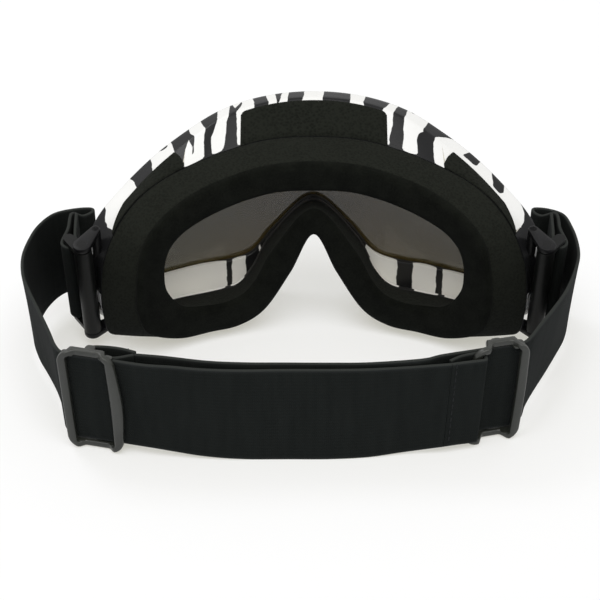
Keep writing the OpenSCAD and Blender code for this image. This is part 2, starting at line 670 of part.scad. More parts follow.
frame_shell();
lens();
top_vent_foam();
side_vent_foam_left();
side_vent_foam_right();
bottom_vent_foam_left();
bottom_vent_foam_right();
face_foam();
face_fleece();
hook_pin_left();
hook_pin_right();
hook_left();
hook_right();
strap_front_left();
strap_front_right();
strap_side_left();
strap_side_right();
strap_rear_outer();
strap_rear_inner();
strap_fold_left();
strap_fold_right();
slider_left();
slider_right();
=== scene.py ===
"""Looks of the goggles: striped moulded frame, smoked lens, foam and fleece, elastic webbing
with sliders and hooks, on a pale table in soft light.

Shapes are worked out in millimetres in the goggles' own frame: x = 0 is the plane of the nose,
y = 0 the wearer's side of the foam, z = 0 the table. mesh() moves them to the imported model's
frame, in metres."""
from math import asin, cos, pi, radians, sin, sqrt

import bmesh
import bpy
import numpy as np
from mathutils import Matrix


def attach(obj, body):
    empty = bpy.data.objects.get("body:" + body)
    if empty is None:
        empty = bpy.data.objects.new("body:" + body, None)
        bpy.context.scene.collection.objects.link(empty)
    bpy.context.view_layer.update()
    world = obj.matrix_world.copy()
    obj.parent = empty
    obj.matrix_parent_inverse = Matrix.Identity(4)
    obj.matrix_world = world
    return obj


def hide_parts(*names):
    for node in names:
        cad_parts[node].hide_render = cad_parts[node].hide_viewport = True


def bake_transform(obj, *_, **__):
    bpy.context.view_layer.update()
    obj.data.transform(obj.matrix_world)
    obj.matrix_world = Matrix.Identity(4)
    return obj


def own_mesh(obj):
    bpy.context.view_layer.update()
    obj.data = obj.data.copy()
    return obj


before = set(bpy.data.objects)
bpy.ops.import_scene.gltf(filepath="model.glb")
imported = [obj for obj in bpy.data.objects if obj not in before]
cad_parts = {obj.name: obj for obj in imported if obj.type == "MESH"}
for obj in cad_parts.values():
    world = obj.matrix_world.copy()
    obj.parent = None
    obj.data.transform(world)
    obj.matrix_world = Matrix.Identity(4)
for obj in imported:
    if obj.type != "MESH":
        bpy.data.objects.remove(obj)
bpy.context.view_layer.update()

# Sizes shared with the part's source
HALF_W, HEIGHT = 88.0, 87.0
RIM_R, RIM_YC, RIM_DEPTH, WALL = 107.0, -70.0, 7.0, 2.4
FACE_R, FACE_YC, FLANGE_R, FLANGE_T, FLEECE_T = 97.0, -97.0, 114.0, 2.2, 2.5
LIP, SLOT, GROOVE, LENS_T = 1.8, 1.8, 4.0, 1.2
SHIFT = np.array([4.5, 25.5785, 0.0])
STRAP_W, STRAP_T, STRAP_BACK, LEAN = 37.0, 1.2, 86.0, 4.0
TILT = asin(LEAN / STRAP_W)


# ---- camera

def put(name, data, place=(0, 0, 0), turn=(0, 0, 0)):
    """Adds that data to the scene as an object, at a place in metres, turned by degrees."""
    obj = bpy.data.objects.new(name, data)
    obj.location, obj.rotation_euler = place, [radians(a) for a in turn]
    bpy.context.scene.collection.objects.link(obj)
    return obj


def make_camera():
    """Camera 30 degrees above the table, behind the goggles, looking along +Y."""
    data = bpy.data.cameras.new("camera")
    data.sensor_width, data.lens, data.clip_start = 36, 91.84, 0.01
    bpy.context.scene.camera = put("camera", data, (-0.0008, -0.49404, 0.3142), (60, 0, 0))


make_camera()


# ---- shader expressions

class Field:
    """An output socket of a material's nodes. Sums, products and the other operators below
    add the Math nodes that work them out, number by number."""

    def __init__(self, tree, socket):
        self.tree, self.socket = tree, socket

    def math(self, operation, *values):
        node = self.tree.nodes.new("ShaderNodeMath")
        node.operation = operation
        for slot, value in zip(node.inputs, values):
            feed(self.tree, slot, value)
        return Field(self.tree, node.outputs[0])

    def __add__(self, other): return self.math("ADD", self, other)
    def __radd__(self, other): return self.math("ADD", other, self)
    def __sub__(self, other): return self.math("SUBTRACT", self, other)
    def __rsub__(self, other): return self.math("SUBTRACT", other, self)
    def __mul__(self, other): return self.math("MULTIPLY", self, other)
    def __rmul__(self, other): return self.math("MULTIPLY", other, self)
    def __abs__(self): return self.math("ABSOLUTE", self)

    def sine(self): return self.math("SINE", self)

    def also(self, output):
        """Another output of the same node."""
        return Field(self.tree, self.socket.node.outputs[output])

    def step(self, low, high):
        """0 below low, 1 above high and a smooth rise between."""
        node = self.tree.nodes.new("ShaderNodeMapRange")
        node.interpolation_type = "SMOOTHSTEP"
        for slot, value in zip(node.inputs, (self, low, high, 0.0, 1.0)):
            feed(self.tree, slot, value)
        return Field(self.tree, node.outputs[0])


def feed(tree, slot, value):
    """Links a field to an input socket, or sets the socket to a number or colour."""
    if isinstance(value, Field):
        tree.links.new(value.socket, slot)
    else:
        opaque = isinstance(value, tuple) and slot.type == "RGBA" and len(value) == 3
        slot.default_value = (*value, 1.0) if opaque else value


class Finish:
    """A material on a Principled shader, with one method that adds any other node."""

    def __init__(self, name, **sockets):
        self.material = bpy.data.materials.new(name)
        self.material.use_nodes = True
        self.tree = self.material.node_tree
        self.shader = self.tree.nodes["Principled BSDF"]
        self.set(**sockets)

    def set(self, **sockets):
        for name, value in sockets.items():
            feed(self.tree, self.shader.inputs[name.replace("_", " ")], value)

    def add(self, kind, settings=(), out=0, **inputs):
        """Adds a node: its settings first, then its sockets by name, and gives output out."""
        node = self.tree.nodes.new("ShaderNode" + kind)
        for name, value in dict(settings).items():
            setattr(node, name, value)
        for name, value in inputs.items():
            feed(self.tree, node.inputs[name.replace("_", " ")], value)
        return Field(self.tree, node.outputs[out])

    def place(self):
        """Object coordinates, in metres."""
        return self.add("TexCoord", out="Object")

    def noise(self, size, detail=2.0, rough=0.5, where=None):
        """Noise with size grains a metre, on the object's own coordinates or on where."""
        return self.add("TexNoise", Vector=self.place() if where is None else where,
                        Scale=size, Detail=detail, Roughness=rough)

    def blend(self, share, a, b):
        """Colour a where share is 0 and b where it is 1."""
        node = self.tree.nodes.new("ShaderNodeMix")
        node.data_type = "RGBA"
        for index, value in ((0, share), (6, a), (7, b)):
            feed(self.tree, node.inputs[index], value)
        return Field(self.tree, node.outputs[2])

    def bump(self, height, depth):
        """Bumps of that depth in metres."""
        self.set(Normal=self.add("Bump", Height=height, Distance=depth, Strength=1.0))

    def ink(self, size, wander, soft):
        """1 where the stripe attribute, a distance in mm from the nearest stripe's edge, is
        below zero, with an edge that wanders and is soft mm wide on both sides."""
        edge = self.add("Attribute", {"attribute_name": "stripe"}, out="Fac")
        wobble = self.noise(size, 2.0) - 0.5
        return 1.0 - (edge + wobble * wander).step(-soft, soft)


BLACK_INK = (0.011, 0.0112, 0.0118)


def striped_plastic():
    """Glossy moulded plastic printed with black stripes, a little worn."""
    f = Finish("striped_plastic", Roughness=0.24, Specular_IOR_Level=0.16)
    ink = f.ink(260.0, 0.9, 0.12)
    wear = f.noise(900.0, 3.0).step(0.68, 0.78)
    white = f.blend(f.noise(60.0), (0.84, 0.84, 0.825), (0.875, 0.875, 0.86))
    black = f.blend(wear * 0.5, BLACK_INK, (0.028, 0.028, 0.029))
    f.set(Base_Color=f.blend(ink, white, black))
    f.bump(f.noise(1400.0) + ink * 0.4, 0.00003)
    return f.material


def plain_plastic_painted_glow():
    """The same moulded plastic on the inside of the frame and at cut edges: white, with the few
    black patches of the stripe attribute and a finer, duller grain. Its white is painted a shade
    brighter and warmer, and it glows faintly warm: painted light that lifts the shaded inside,
    standing in for the light the thin wall lets through."""
    f = Finish("plain_plastic_painted_glow", Roughness=0.34, Emission_Strength=0.1)
    ink = f.ink(240.0, 1.2, 0.15)
    # Painted light: a brighter, warmer white, and a faint warm glow on all but the black patches.
    white = f.blend(f.noise(45.0), (0.86, 0.85, 0.8), (0.91, 0.9, 0.86))
    f.set(Base_Color=f.blend(ink, white, BLACK_INK),
          Emission_Color=f.blend(ink, (0.9, 0.86, 0.76), (0.0, 0.0, 0.0)))
    f.bump(f.noise(1100.0, 3.0), 0.00004)
    return f.material


def smoked_lens():
    """Smoke-tinted polycarbonate with a faint warm and green drift from its thin coating."""
    f = Finish("smoked_lens", Roughness=0.2, Alpha=0.77)
    drift = f.noise(18.0, 1.0).step(0.35, 0.65)
    f.set(Base_Color=f.blend(drift, (0.1, 0.082, 0.02), (0.122, 0.088, 0.028)))
    f.bump(f.noise(25.0, 0.0), 0.00006)
    return f.material


def cell_foam(name, dark, light, cells, depth):
    """Open-cell foam: rounded pits of the cells in colour and in height."""
    f = Finish(name, Roughness=0.96, Specular_IOR_Level=0.05, Sheen_Weight=0.012,
               Sheen_Roughness=0.6)
    pits = f.add("TexVoronoi", out="Distance", Vector=f.place(), Scale=cells)
    blotch = f.noise(90.0, 3.0)
    f.set(Base_Color=f.blend((pits * 0.9 + blotch * 0.5).step(0.15, 0.95), dark, light))
    f.bump(pits + f.noise(cells * 2.2) * 0.6, depth)
    return f.material


def fleece():
    """Brushed knitted fleece: fine fibres, softly mottled."""
    f = Finish("fleece", Roughness=1.0, Specular_IOR_Level=0.04, Sheen_Weight=0.012,
               Sheen_Roughness=0.7)
    fibres, nap = f.noise(1500.0, 4.0, 0.7), f.noise(160.0, 3.0)
    f.set(Base_Color=f.blend((fibres * 0.6 + nap * 0.5).step(0.35, 0.75),
                             (0.003, 0.0035, 0.0026), (0.0082, 0.0092, 0.007)))
    f.bump(fibres + nap * 0.5, 0.00012)
    return f.material


def elastic_webbing():
    """Woven elastic: the weave map runs along the webbing and across it, in mm / 100. Warp
    ribs 1.3 mm apart run lengthwise, rubbed by weft picks 0.7 mm apart, with a firm selvedge
    along both edges. The paler line on the very edge of both is a painted highlight, where the
    rounded edge catches the light."""
    f = Finish("elastic_webbing", Roughness=0.9, Specular_IOR_Level=0.06, Sheen_Weight=0.008,
               Sheen_Roughness=0.5)
    weave = f.add("UVMap", {"uv_map": "weave"})
    parts = f.add("SeparateXYZ", Vector=weave)
    u, v = parts * 100.0, parts.also(1) * 100.0
    ribs = (v * (2 * pi / 1.3)).sine() * 0.5 + 0.5
    picks = (u * (2 * pi / 0.7) + ribs * 3.0).sine() * 0.5 + 0.5
    tall = f.add("Mapping", Vector=weave, Scale=(1.0, 0.12, 1.0))
    long = f.add("Mapping", Vector=weave, Scale=(0.25, 1.0, 1.0))
    puckers, hairs = f.noise(34.0, 3.0, where=tall), f.noise(320.0, 3.0, where=long)
    from_middle = abs(v - STRAP_W / 2)
    selvedge, rim = from_middle.step(17.2, 17.6), from_middle.step(17.9, 18.15)
    tone = ribs * 0.12 + picks * 0.25 + puckers * 0.5 + hairs * 0.5
    cloth = f.blend(tone.step(0.3, 1.05), (0.0062, 0.0074, 0.0068), (0.0132, 0.0152, 0.0138))
    edged = f.blend(selvedge * 0.5, cloth, (0.022, 0.024, 0.0235))
    # The rim colour is a painted highlight along both edges, for the light the rounded edge
    # catches.
    f.set(Base_Color=f.blend(rim * 0.8, edged, (0.036, 0.039, 0.036)))
    f.bump(ribs * 0.3 + picks * 0.45 + puckers * 1.2 + hairs * 0.4 + selvedge * 0.5, 0.00012)
    return f.material


def moulded(name, dark, light, rough, gloss):
    """Satin moulded plastic with a spark-eroded grain and a little colour variation."""
    f = Finish(name, Specular_IOR_Level=gloss)
    grain, cloud = f.noise(1300.0, 3.0, 0.6), f.noise(70.0)
    f.set(Base_Color=f.blend((grain * 0.4 + cloud * 0.6).step(0.3, 0.7), dark, light),
          Roughness=cloud * 0.12 + rough)
    f.bump(grain, 0.00005)
    return f.material


def sewing_thread():
    """Twisted black thread."""
    f = Finish("sewing_thread", Roughness=0.6, Specular_IOR_Level=0.15)
    twist = (f.noise(2500.0, 1.0) * 6.0).sine() * 0.5 + 0.5
    f.set(Base_Color=f.blend(twist, (0.005, 0.0055, 0.006), (0.014, 0.015, 0.016)))
    f.bump(twist, 0.00005)
    return f.material


# ---- curves and meshes

def outline(x, z, width, low, high):
    """Closed outline: half a shape, x and z in thousandths of that half's width and of the
    height from low to high, and its mirror."""
    half = np.column_stack([x, z]) / 1000 * [width, high - low] + [0, low]
    return np.vstack([half, (half * [-1, 1])[-2:0:-1]])


def spline(a, b, c, d, u):
    """Catmull-Rom curve through four points in a row, u from the second to the third."""
    return 0.5 * (2 * b + (c - a) * u + (2 * a - 5 * b + 4 * c - d) * u ** 2
                  + (3 * b - 3 * c + d - a) * u ** 3)


def around(points, t):
    """Points at the places t of a closed outline, counted in its points."""
    i = np.floor(t).astype(int)
    a, b, c, d = (points[(i + k) % len(points)] for k in (-1, 0, 1, 2))
    return spline(a, b, c, d, (t - i)[..., None])


def along(points, t):
    """Points at the places t of an open route, whose ends are carried on straight."""
    p = np.array(points, float)
    p = np.vstack([2 * p[0] - p[1], p, 2 * p[-1] - p[-2]])
    i = np.clip(np.floor(t).astype(int), 0, len(p) - 4)
    return spline(p[i], p[i + 1], p[i + 2], p[i + 3], (t - i)[..., None])


def unit(v):
    """The same directions, 1 long."""
    return v / np.maximum(np.linalg.norm(v, axis=-1, keepdims=True), 1e-9)


def run_of(points):
    """Lengths from the first point of a line to each of its points."""
    return np.append(0, np.cumsum(np.linalg.norm(np.diff(points, axis=0), axis=1)))


def inwards(points, t, s):
    """The outline's points moved s to its inner side, square to it."""
    m = unit(around(points, t + 0.02) - around(points, t - 0.02))
    return around(points, t) + np.asarray(s)[..., None] * np.stack([m[..., 1], -m[..., 0]], -1)


def bend(p, r, yc, depth=0.0):
    """Outline points wrapped round the upright axis at y = yc with radius r, then moved in by
    depth along the radius; what would dip below the table is flattened to a foot."""
    k = (r - np.asarray(depth)) / r
    y = yc + k * np.sqrt(r * r - p[..., 0] ** 2)
    return np.stack([p[..., 0] * k, y, np.maximum(p[..., 1], 0)], -1)


def on_rim(p, depth=0.0):
    """Outline points on the front of the rim, or depth mm behind it."""
    return bend(p, RIM_R, RIM_YC, depth)


def on_flange(p, depth=0.0):
    """Outline points on the flange's face to the foam, or depth mm behind it."""
    return bend(p, FLANGE_R, FACE_YC, depth)


def circle(n):
    """Cosines and sines of n even angles."""
    a = np.linspace(0, 2 * pi, n, endpoint=False)
    return np.cos(a), np.sin(a)


def soft(r):
    """Smooth rise from 0 at r = 0 to 1 at r = 1."""
    r = np.clip(r, 0, 1)
    return r * r * (3 - 2 * r)


def grid_faces(n, m, round_n=True, round_m=True):
    """Quads of a grid of n rows of m points, joined round in either direction."""
    i = np.arange(n if round_n else n - 1)[:, None]
    j = np.arange(m if round_m else m - 1)[None]
    a, b = i * m, (i + 1) % n * m
    k = (j + 1) % m
    return np.stack([a + j, b + j, b + k, a + k], -1).reshape(-1, 4)


def capped_faces(n, m):
    """Quads of n rings of m points, and one face over each end."""
    return [*grid_faces(n, m, False).tolist(), list(range(m)), list(range((n - 1) * m, n * m))]


def mesh(name, points, faces, finishes, slots=None, uv=None, values=None, sharp=40):
    """Object from points in mm and lists of faces, with normals turned outwards, edges over
    sharp degrees kept sharp, and the weave map or named values of its points."""
    data = bpy.data.meshes.new(name)
    data.from_pydata(((points.reshape(-1, 3) + SHIFT) / 1000).tolist(), [],
                     [list(map(int, f)) for f in faces])
    for finish in finishes:
        data.materials.append(finish)
    if slots is not None:
        data.polygons.foreach_set("material_index", np.asarray(slots, np.int32))
    work = bmesh.new()
    work.from_mesh(data)
    bmesh.ops.recalc_face_normals(work, faces=work.faces)
    work.to_mesh(data)
    work.free()
    data.shade_smooth()
    data.set_sharp_from_angle(angle=radians(sharp))
    if uv is not None:
        corners = np.zeros(len(data.loops), np.int32)
        data.loops.foreach_get("vertex_index", corners)
        layer = data.uv_layers.new(name="weave")
        layer.data.foreach_set("uv", uv.reshape(-1, 2)[corners].astype(np.float32).ravel())
    for key, value in (values or {}).items():
        layer = data.attributes.new(key, "FLOAT", "POINT")
        layer.data.foreach_set("value", value.astype(np.float32).ravel())
    data.update()
    return put(name, data)


def piece(obj, body, slot, *nodes):
    """Puts a finished piece on its body, in place of those nodes. Its slot is not used."""
    if nodes:
        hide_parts(*nodes)
    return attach(obj, body) if body else obj


def sections(corners, radii, cuts, turns=4):
    """Closed sections with softened corners. corners is (stations, corners, coordinates).
    Each corner becomes a parabola that meets its two edges a radius away, in turns points, and
    each edge after a corner is cut into equal parts."""
    m = corners.shape[1]
    after = np.roll(corners, -1, 1) - corners
    before = np.roll(corners, 1, 1) - corners
    la = np.linalg.norm(after[..., :3], axis=-1, keepdims=True)
    lb = np.linalg.norm(before[..., :3], axis=-1, keepdims=True)
    r = np.minimum(np.array(radii, float)[None, :, None], 0.42 * np.minimum(la, lb))
    start = corners + before / np.maximum(lb, 1e-6) * r
    end = corners + after / np.maximum(la, 1e-6) * r
    columns, first = [], []
    for j in range(m):
        first.append(len(columns))
        bows = np.linspace(0, 1, turns) if radii[j] > 0 else [0.5]
        columns += [(1 - u) ** 2 * start[:, j] + 2 * u * (1 - u) * corners[:, j]
                    + u * u * end[:, j] for u in bows]
        a, b = end[:, j], start[:, (j + 1) % m]
        columns += [a + (b - a) * k / cuts[j] for k in range(1, cuts[j])]
    return np.stack(columns, 1), first


# ---- moulded frame

RIM = outline(
    [0, 220, 410, 565, 700, 825, 930, 990, 1000, 990, 920, 750, 520, 360, 240, 150, 0],
    [1000, 985, 940, 865, 786, 694, 600, 485, 345, 200, 80, 15, 0, 8, 80, 230, 380],
    HALF_W, 0, HEIGHT)
OPENING = outline(
    [0, 200, 370, 520, 645, 755, 840, 885, 895, 880, 815, 680, 530, 400, 290, 175, 0],
    [905, 890, 845, 775, 700, 610, 520, 430, 345, 265, 220, 210, 208, 205, 235, 365, 505],
    HALF_W, 0, HEIGHT)
FLANGE = outline(
    [0, 225, 420, 584, 720, 832, 920, 980, 1000, 1000, 965, 800, 570, 400, 275, 160, 0],
    [1000, 990, 948, 898, 846, 769, 655, 505, 365, 200, 50, 0, 0, 8, 70, 245, 450],
    HALF_W - 7.5, 3, HEIGHT - 10.5)
FLANGE_IN = outline(
    [0, 190, 335, 470, 600, 710, 790, 840, 855, 845, 770, 620, 475, 375, 300, 205, 0],
    [845, 838, 808, 767, 722, 660, 580, 470, 355, 235, 145, 130, 130, 150, 238, 430, 630],
    HALF_W - 7.5, 3, HEIGHT - 10.5)
SEAL = outline(
    [0, 255, 465, 632, 782, 887, 955, 985, 1000, 1000, 947, 782, 600, 436, 286, 135, 0],
    [1000, 987, 947, 900, 831, 752, 658, 543, 413, 268, 110, 12, 0, 9, 95, 320, 557],
    66.5, 3.4, 72.7)
PORT = outline(
    [0, 240, 420, 570, 730, 860, 945, 985, 1000, 985, 890, 720, 600, 490, 400, 275, 0],
    [1000, 995, 955, 905, 835, 755, 655, 545, 410, 235, 55, 0, 0, 50, 175, 455, 830],
    56.5, 15.4, 60.7)

# Places along an outline, counted from the top middle to the wearer's right and round
PLACES, NOSE = 32, 16
# The windows of the vents, in places: a rib RIB wide to either side parts the lower ones.
# WINDOW_END is the share of the skin at which all of them end.
TOP_VENT, SIDE_VENT, LOW_VENT, RIB_AT, RIB = 1.6, (3.2, 6.2), (11.2, 13.0), 12, 0.2
WINDOW_END, CORNER_R = 0.9, 0.12


def from_top(t):
    """Places counted down either side, 0 at the top middle and 16 at the nose."""
    return np.where(t % PLACES <= NOSE, t % PLACES, PLACES - t % PLACES)


def in_side_vent(k):
    """Whether a place counted from the top is in a side window."""
    return (k > SIDE_VENT[0]) & (k < SIDE_VENT[1])


def window_start(t):
    """Share of the sloping skin at which a window starts: the side windows run out to a
    point at both ends, the others start square with a small radius at their ends."""
    k = from_top(t)
    side = np.interp(k, [SIDE_VENT[0], 3.35, 3.6, 5.4, 6.0, SIDE_VENT[1]],
                     [0.86, 0.5, 0.06, 0.06, 0.64, 0.86])
    ends = np.min([abs(k - end) for end in (TOP_VENT, *LOW_VENT)], axis=0)
    away = 1 - np.clip(ends / CORNER_R, 0, 1)
    square = 0.1 + 0.1 * (1 - np.sqrt(np.clip(1 - away ** 2, 0, 1)))
    return np.where(in_side_vent(k), side, square)


def is_open(t):
    """Whether the skin is open at place t."""
    k = from_top(t)
    in_low_vent = (k > LOW_VENT[0]) & (k < LOW_VENT[1]) & (abs(k - RIB_AT) > RIB)
    return (k < TOP_VENT) | in_side_vent(k) | in_low_vent


def skin(t, f, e):
    """Frame's sloping skin: a straight line from the back of the rim, f = 0, to the flange,
    f = 1, with both ends moved in by e."""
    a = on_rim(inwards(RIM, t, e), RIM_DEPTH)
    b = on_flange(inwards(FLANGE, t, e), -e / WALL * FLANGE_T)
    return a + np.asarray(f)[..., None] * (b - a)


# Black stripes: rows of [w, from, to]. w runs across the frame, -1 at the edge of the lens
# opening, 0 at the front of the rim, 1 at its back and 3 at the flange; from and to are mm
# along the rim from the top middle, positive to the wearer's right.
STRIPES = [
    [[-1, -112, -104], [0, -111, -97], [0.4, -111.2, -98.5], [0.6, -110, -102.3],
     [1.4, -108, -105]],
    [[-1, -79, -76], [0, -82.3, -71.1], [0.5, -82.6, -72.3], [0.9, -84, -74.6],
     [1.4, -85, -76]],
    [[-0.5, -66.5, -66], [0, -67, -62.8], [0.16, -66.2, -62.6], [0.24, -65, -63]],
    [[-0.8, -57, -55], [0, -60.5, -51.9], [0.5, -61.5, -53], [1, -63, -55.8], [1.6, -62, -56.7],
     [2.3, -61, -56.9], [3.4, -60, -55.5]],
    [[0.4, -55.6, -53], [1, -55.4, -52.5], [1.7, -53.4, -52.2], [2.3, -52.6, -52.3]],
    [[-1, -44, -42.5], [0, -46.6, -38.4], [1, -47.2, -41.4], [1.8, -47.5, -43.8],
     [3.4, -46.4, -43.1]],
    [[-0.9, -34.5, -34], [0, -33.5, -32.2], [0.6, -34.8, -32.5], [1.1, -36.2, -32.6],
     [1.3, -37.1, -32.4], [2, -37.1, -32.2], [3.4, -38.8, -31.6]],
    [[0.1, -28.8, -28.4], [0.4, -31, -28.8], [0.7, -33, -30.4], [0.95, -33.4, -32]],
    [[-0.9, -21.5, -20.5], [0, -24, -18.8], [1.2, -24.8, -18.8]],
    [[-0.5, -13.4, -13], [0, -15, -12.2], [1.2, -15.4, -14.4]],
    [[-1, -6, -4], [0, -9.4, -3.4], [1.2, -11, -4.6]],
    [[-1, 6, 9], [0, 4.2, 14.4], [1.2, 3.6, 15.2]],
    [[-1, 22.5, 24], [0, 20.6, 30.4], [0.9, 20.5, 29.6], [1.2, 21, 28.6]],
    [[-1, 37.5, 39.5], [0, 33.8, 37.9], [0.9, 33.6, 38.5], [1.8, 33, 37.8], [2.1, 32.4, 38.1],
     [2.5, 31.4, 37.6], [3.4, 31.9, 36.2]],
    [[-0.6, 41, 41.8], [0, 39.4, 41], [0.15, 39.8, 40.6]],
    [[-1, 50, 52], [0, 47.4, 59.6], [0.35, 47.4, 56.6], [0.8, 47.6, 54], [1.2, 47.4, 53.2],
     [1.5, 44.9, 52.4], [2, 44, 51.9], [3.4, 44, 51.9]],
    [[-0.8, 68.5, 70], [0, 67.3, 72.8], [0.7, 66.3, 73.6]],
    [[-0.9, 80, 82], [0, 78.6, 85.6], [0.6, 82.6, 88.9], [0.8, 84, 88]],
    [[-1, 104, 113], [0, 94.6, 112], [0.3, 99.8, 112], [0.7, 103, 111], [1.6, 106, 109]],
]


# Large black patches on both sides of the skin, behind the lugs
SIDES = [[[0.75, 107, 129], [1.2, 104, 131], [3.2, 102.5, 131]],
         [[0.75, -129, -107], [1.2, -131, -104], [3.2, -131, -102.5]]]
# Black patches on the inside of the panel below the lens, from and to x
PATCHES = [(-27.4, -22), (-35, -33), (34, 40.2), (49.5, 52)]
# Distance to a stripe's edge from where there is none near, and mm in a step of 1 along w
FAR, STEP_W = 9.0, 7.0


def inner_print(t, x):
    """Distance in mm to the edge of the inside's black patches, negative in them: the patches
    below the lens, over 19 mm from the middle, and all of the bridge of the nose."""
    bridge = (abs(t - NOSE) - 1.7) * 9
    low = (abs(t - NOSE) < 7) & (abs(x) > 19)
    edge = np.min([np.maximum(a - x, x - b) for a, b in PATCHES], axis=0)
    return np.minimum(bridge, np.where(low, edge, FAR))


def more_stripes(low, high, side, seed):
    """Stripes of the same kind along the rest of the rim: bent wedges a few mm wide, in pairs
    that lean towards each other, between low and high mm from the top middle."""
    draw = np.random.default_rng(seed).uniform
    found, s = [], low
    while s < high:
        wide, lean = draw(3.2, 6.4), draw(-3.5, 3.5)
        tip, run = draw(-1, -0.3), draw(1.6, 3)
        rows = [[tip, s + lean * 0.4, s + lean * 0.4 + 0.8], [0, s, s + wide],
                [0.9, s - lean * 0.3, s - lean * 0.3 + wide * draw(0.6, 1.1)],
                [run, s - lean, s - lean + wide * draw(0.25, 0.9)]]
        found.append([[w, *sorted((side * a, side * b))] for w, a, b in rows])
        s += wide + draw(4.2, 7.5)
    return found


def inner_wedges(low, high, seed):
    """Slender bent wedges that start at the lens opening and end before the rim's edge."""
    draw = np.random.default_rng(seed).uniform
    found, s = [], low
    while s < high:
        wide, lean, tip = draw(2.4, 6.2), draw(-4, 4), draw(-0.5, -0.16)
        half = (tip - 1) / 2
        found.append([[-3, s, s + wide], [-1, s, s + wide],
                      [half, s + lean * 0.35, s + lean * 0.35 + wide * draw(0.5, 0.9)],
                      [tip, s + lean + wide * 0.4, s + lean + wide * 0.5]])
        s += wide + draw(5.5, 12.0)
    return found


def stripe_edge(s, w, stripes):
    """Distance in mm to the nearest stripe's edge, negative inside: across a stripe from its
    two sides, which are straight between its rows, and past its ends along w."""
    best = np.full(s.shape, FAR)
    for rows in stripes:
        r = np.array(rows, float)
        left, right = np.interp(w, r[:, 0], r[:, 1]), np.interp(w, r[:, 0], r[:, 2])
        past = np.maximum(r[0, 0] - w, w - r[-1, 0]) * STEP_W
        best = np.minimum(best, np.maximum(np.maximum(left - s, s - right), past))
    return best


def rim_places():
    """Places along the outline: even steps of about 0.045, with the windows' ends among
    them."""
    marks = [TOP_VENT, *SIDE_VENT, *LOW_VENT, RIB_AT - RIB, RIB_AT + RIB]
    marks = sorted({0.0, *marks, *(PLACES - m for m in marks)})
    return np.concatenate([
        np.linspace(a, b, max(2, round((b - a) / 0.045)), endpoint=False)
        for a, b in zip(marks, marks[1:] + [PLACES])])


def frame_shell(striped, plain):
    """Frame: softened sections carried round the outline. Where the skin is open, its quads
    are left out and the inner and outer skins joined by the window's walls."""
    t = rim_places()
    n = len(t)
    start, one = window_start(t), np.ones(n)
    back = LIP + SLOT
    rim, edge, port, seat = (around(line, t) for line in (RIM, OPENING, FLANGE_IN, FLANGE))
    deep = inwards(OPENING, t, -GROOVE)
    # The section's 17 corners, from the front of the rim over the lens opening with its
    # groove, back inside to the flange and round it, and forwards on the outside
    corners = np.stack([
        on_rim(rim), on_rim(edge), on_rim(edge, LIP), on_rim(deep, LIP), on_rim(deep, back),
        on_rim(edge, back), on_rim(edge, back + 2),
        on_rim(inwards(RIM, t, WALL), RIM_DEPTH - 0.6), skin(t, start, WALL),
        skin(t, WINDOW_END, WALL), on_flange(inwards(FLANGE, t, WALL), -FLANGE_T),
        on_flange(port, -FLANGE_T), on_flange(port), on_flange(seat), skin(t, WINDOW_END, 0),
        skin(t, start, 0), on_rim(rim, RIM_DEPTH)], 1)
    # The stripes' w at the corners, and 1 where the plastic is printed with them
    w = np.stack([0 * one, -one, *[-2 * one] * 11, 3 * one, (1 + 2 * WINDOW_END) * one,
                  1 + 2 * start, one], 1)
    printed = np.stack([one, one, *[0 * one] * 11, one, one, one, one], 1)
    # The corners' radii in mm, and the parts into which the edge after each is cut
    radii = [0.9, 0.5, 0.4, 0, 0, 0, 0.6, 1.2, 0, 0, 0, 0.5, 0.5, 0, 0, 0, 0.8]
    cuts = [6, 1, 1, 1, 1, 1, 2, 1, 8, 1, 1, 2, 1, 1, 8, 1, 4]
    all_in = np.concatenate([corners, w[..., None], printed[..., None]], -1)
    cells, first = sections(all_in, radii, cuts)
    m = cells.shape[1]
    # Length along the rim, from the top middle
    run = run_of(on_rim(around(RIM, np.append(t, PLACES))))
    s = np.where(t <= NOSE, run[:-1], run[:-1] - run[-1])[:, None] * np.ones((1, m))
    half = run[-1] / 2
    stripes = (STRIPES + SIDES + more_stripes(118, half - 3, 1, 5)
               + more_stripes(117, half - 3, -1, 8) + inner_wedges(-half + 4, half - 8, 3))
    ink = cells[..., 4] > 0.5
    stripe = np.where(ink, stripe_edge(s, cells[..., 3], stripes),
                      inner_print(t[:, None] + 0 * s, cells[..., 0]))
    # The flange's face to the foam and the groove of the lens are black all over
    stripe[:, first[12]:first[14]] = -0.4
    stripe[:, first[2]:first[6]] = -2.0
    # First columns of the skin's inner and outer side, and of what follows them
    inner_a, inner_b, outer_b, outer_a = (first[k] for k in (8, 9, 14, 15))
    faces = grid_faces(n, m)
    open_rows = is_open(t + 0.5 * (np.append(t[1:], PLACES) - t))
    filled = np.ones((n, m), bool)
    filled[open_rows, inner_a:inner_b] = filled[open_rows, outer_b:outer_a] = False
    filled = filled.reshape(-1)
    i = np.flatnonzero(open_rows)
    j = (i + 1) % n
    walls = [np.stack([i * m + a, j * m + a, j * m + b, i * m + b], -1)
             for a, b in ((outer_a, inner_a), (outer_b, inner_b))]
    inner, outer = np.arange(inner_a, inner_b + 1), np.arange(outer_a, outer_b - 1, -1)
    for i in np.flatnonzero(open_rows != np.roll(open_rows, 1)) * m:
        walls.append(np.stack([i + outer[:-1], i + outer[1:], i + inner[1:], i + inner[:-1]], -1))
    walls = np.concatenate(walls)
    is_plain = ~ink.reshape(-1)[faces].all(1)
    slots = np.append(is_plain[filled].astype(int), np.ones(len(walls), int))
    return mesh("frame", cells[..., :3], np.vstack([faces[filled], walls]), [striped, plain],
                slots, values={"stripe": stripe}, sharp=34)


# ---- lugs of the frame

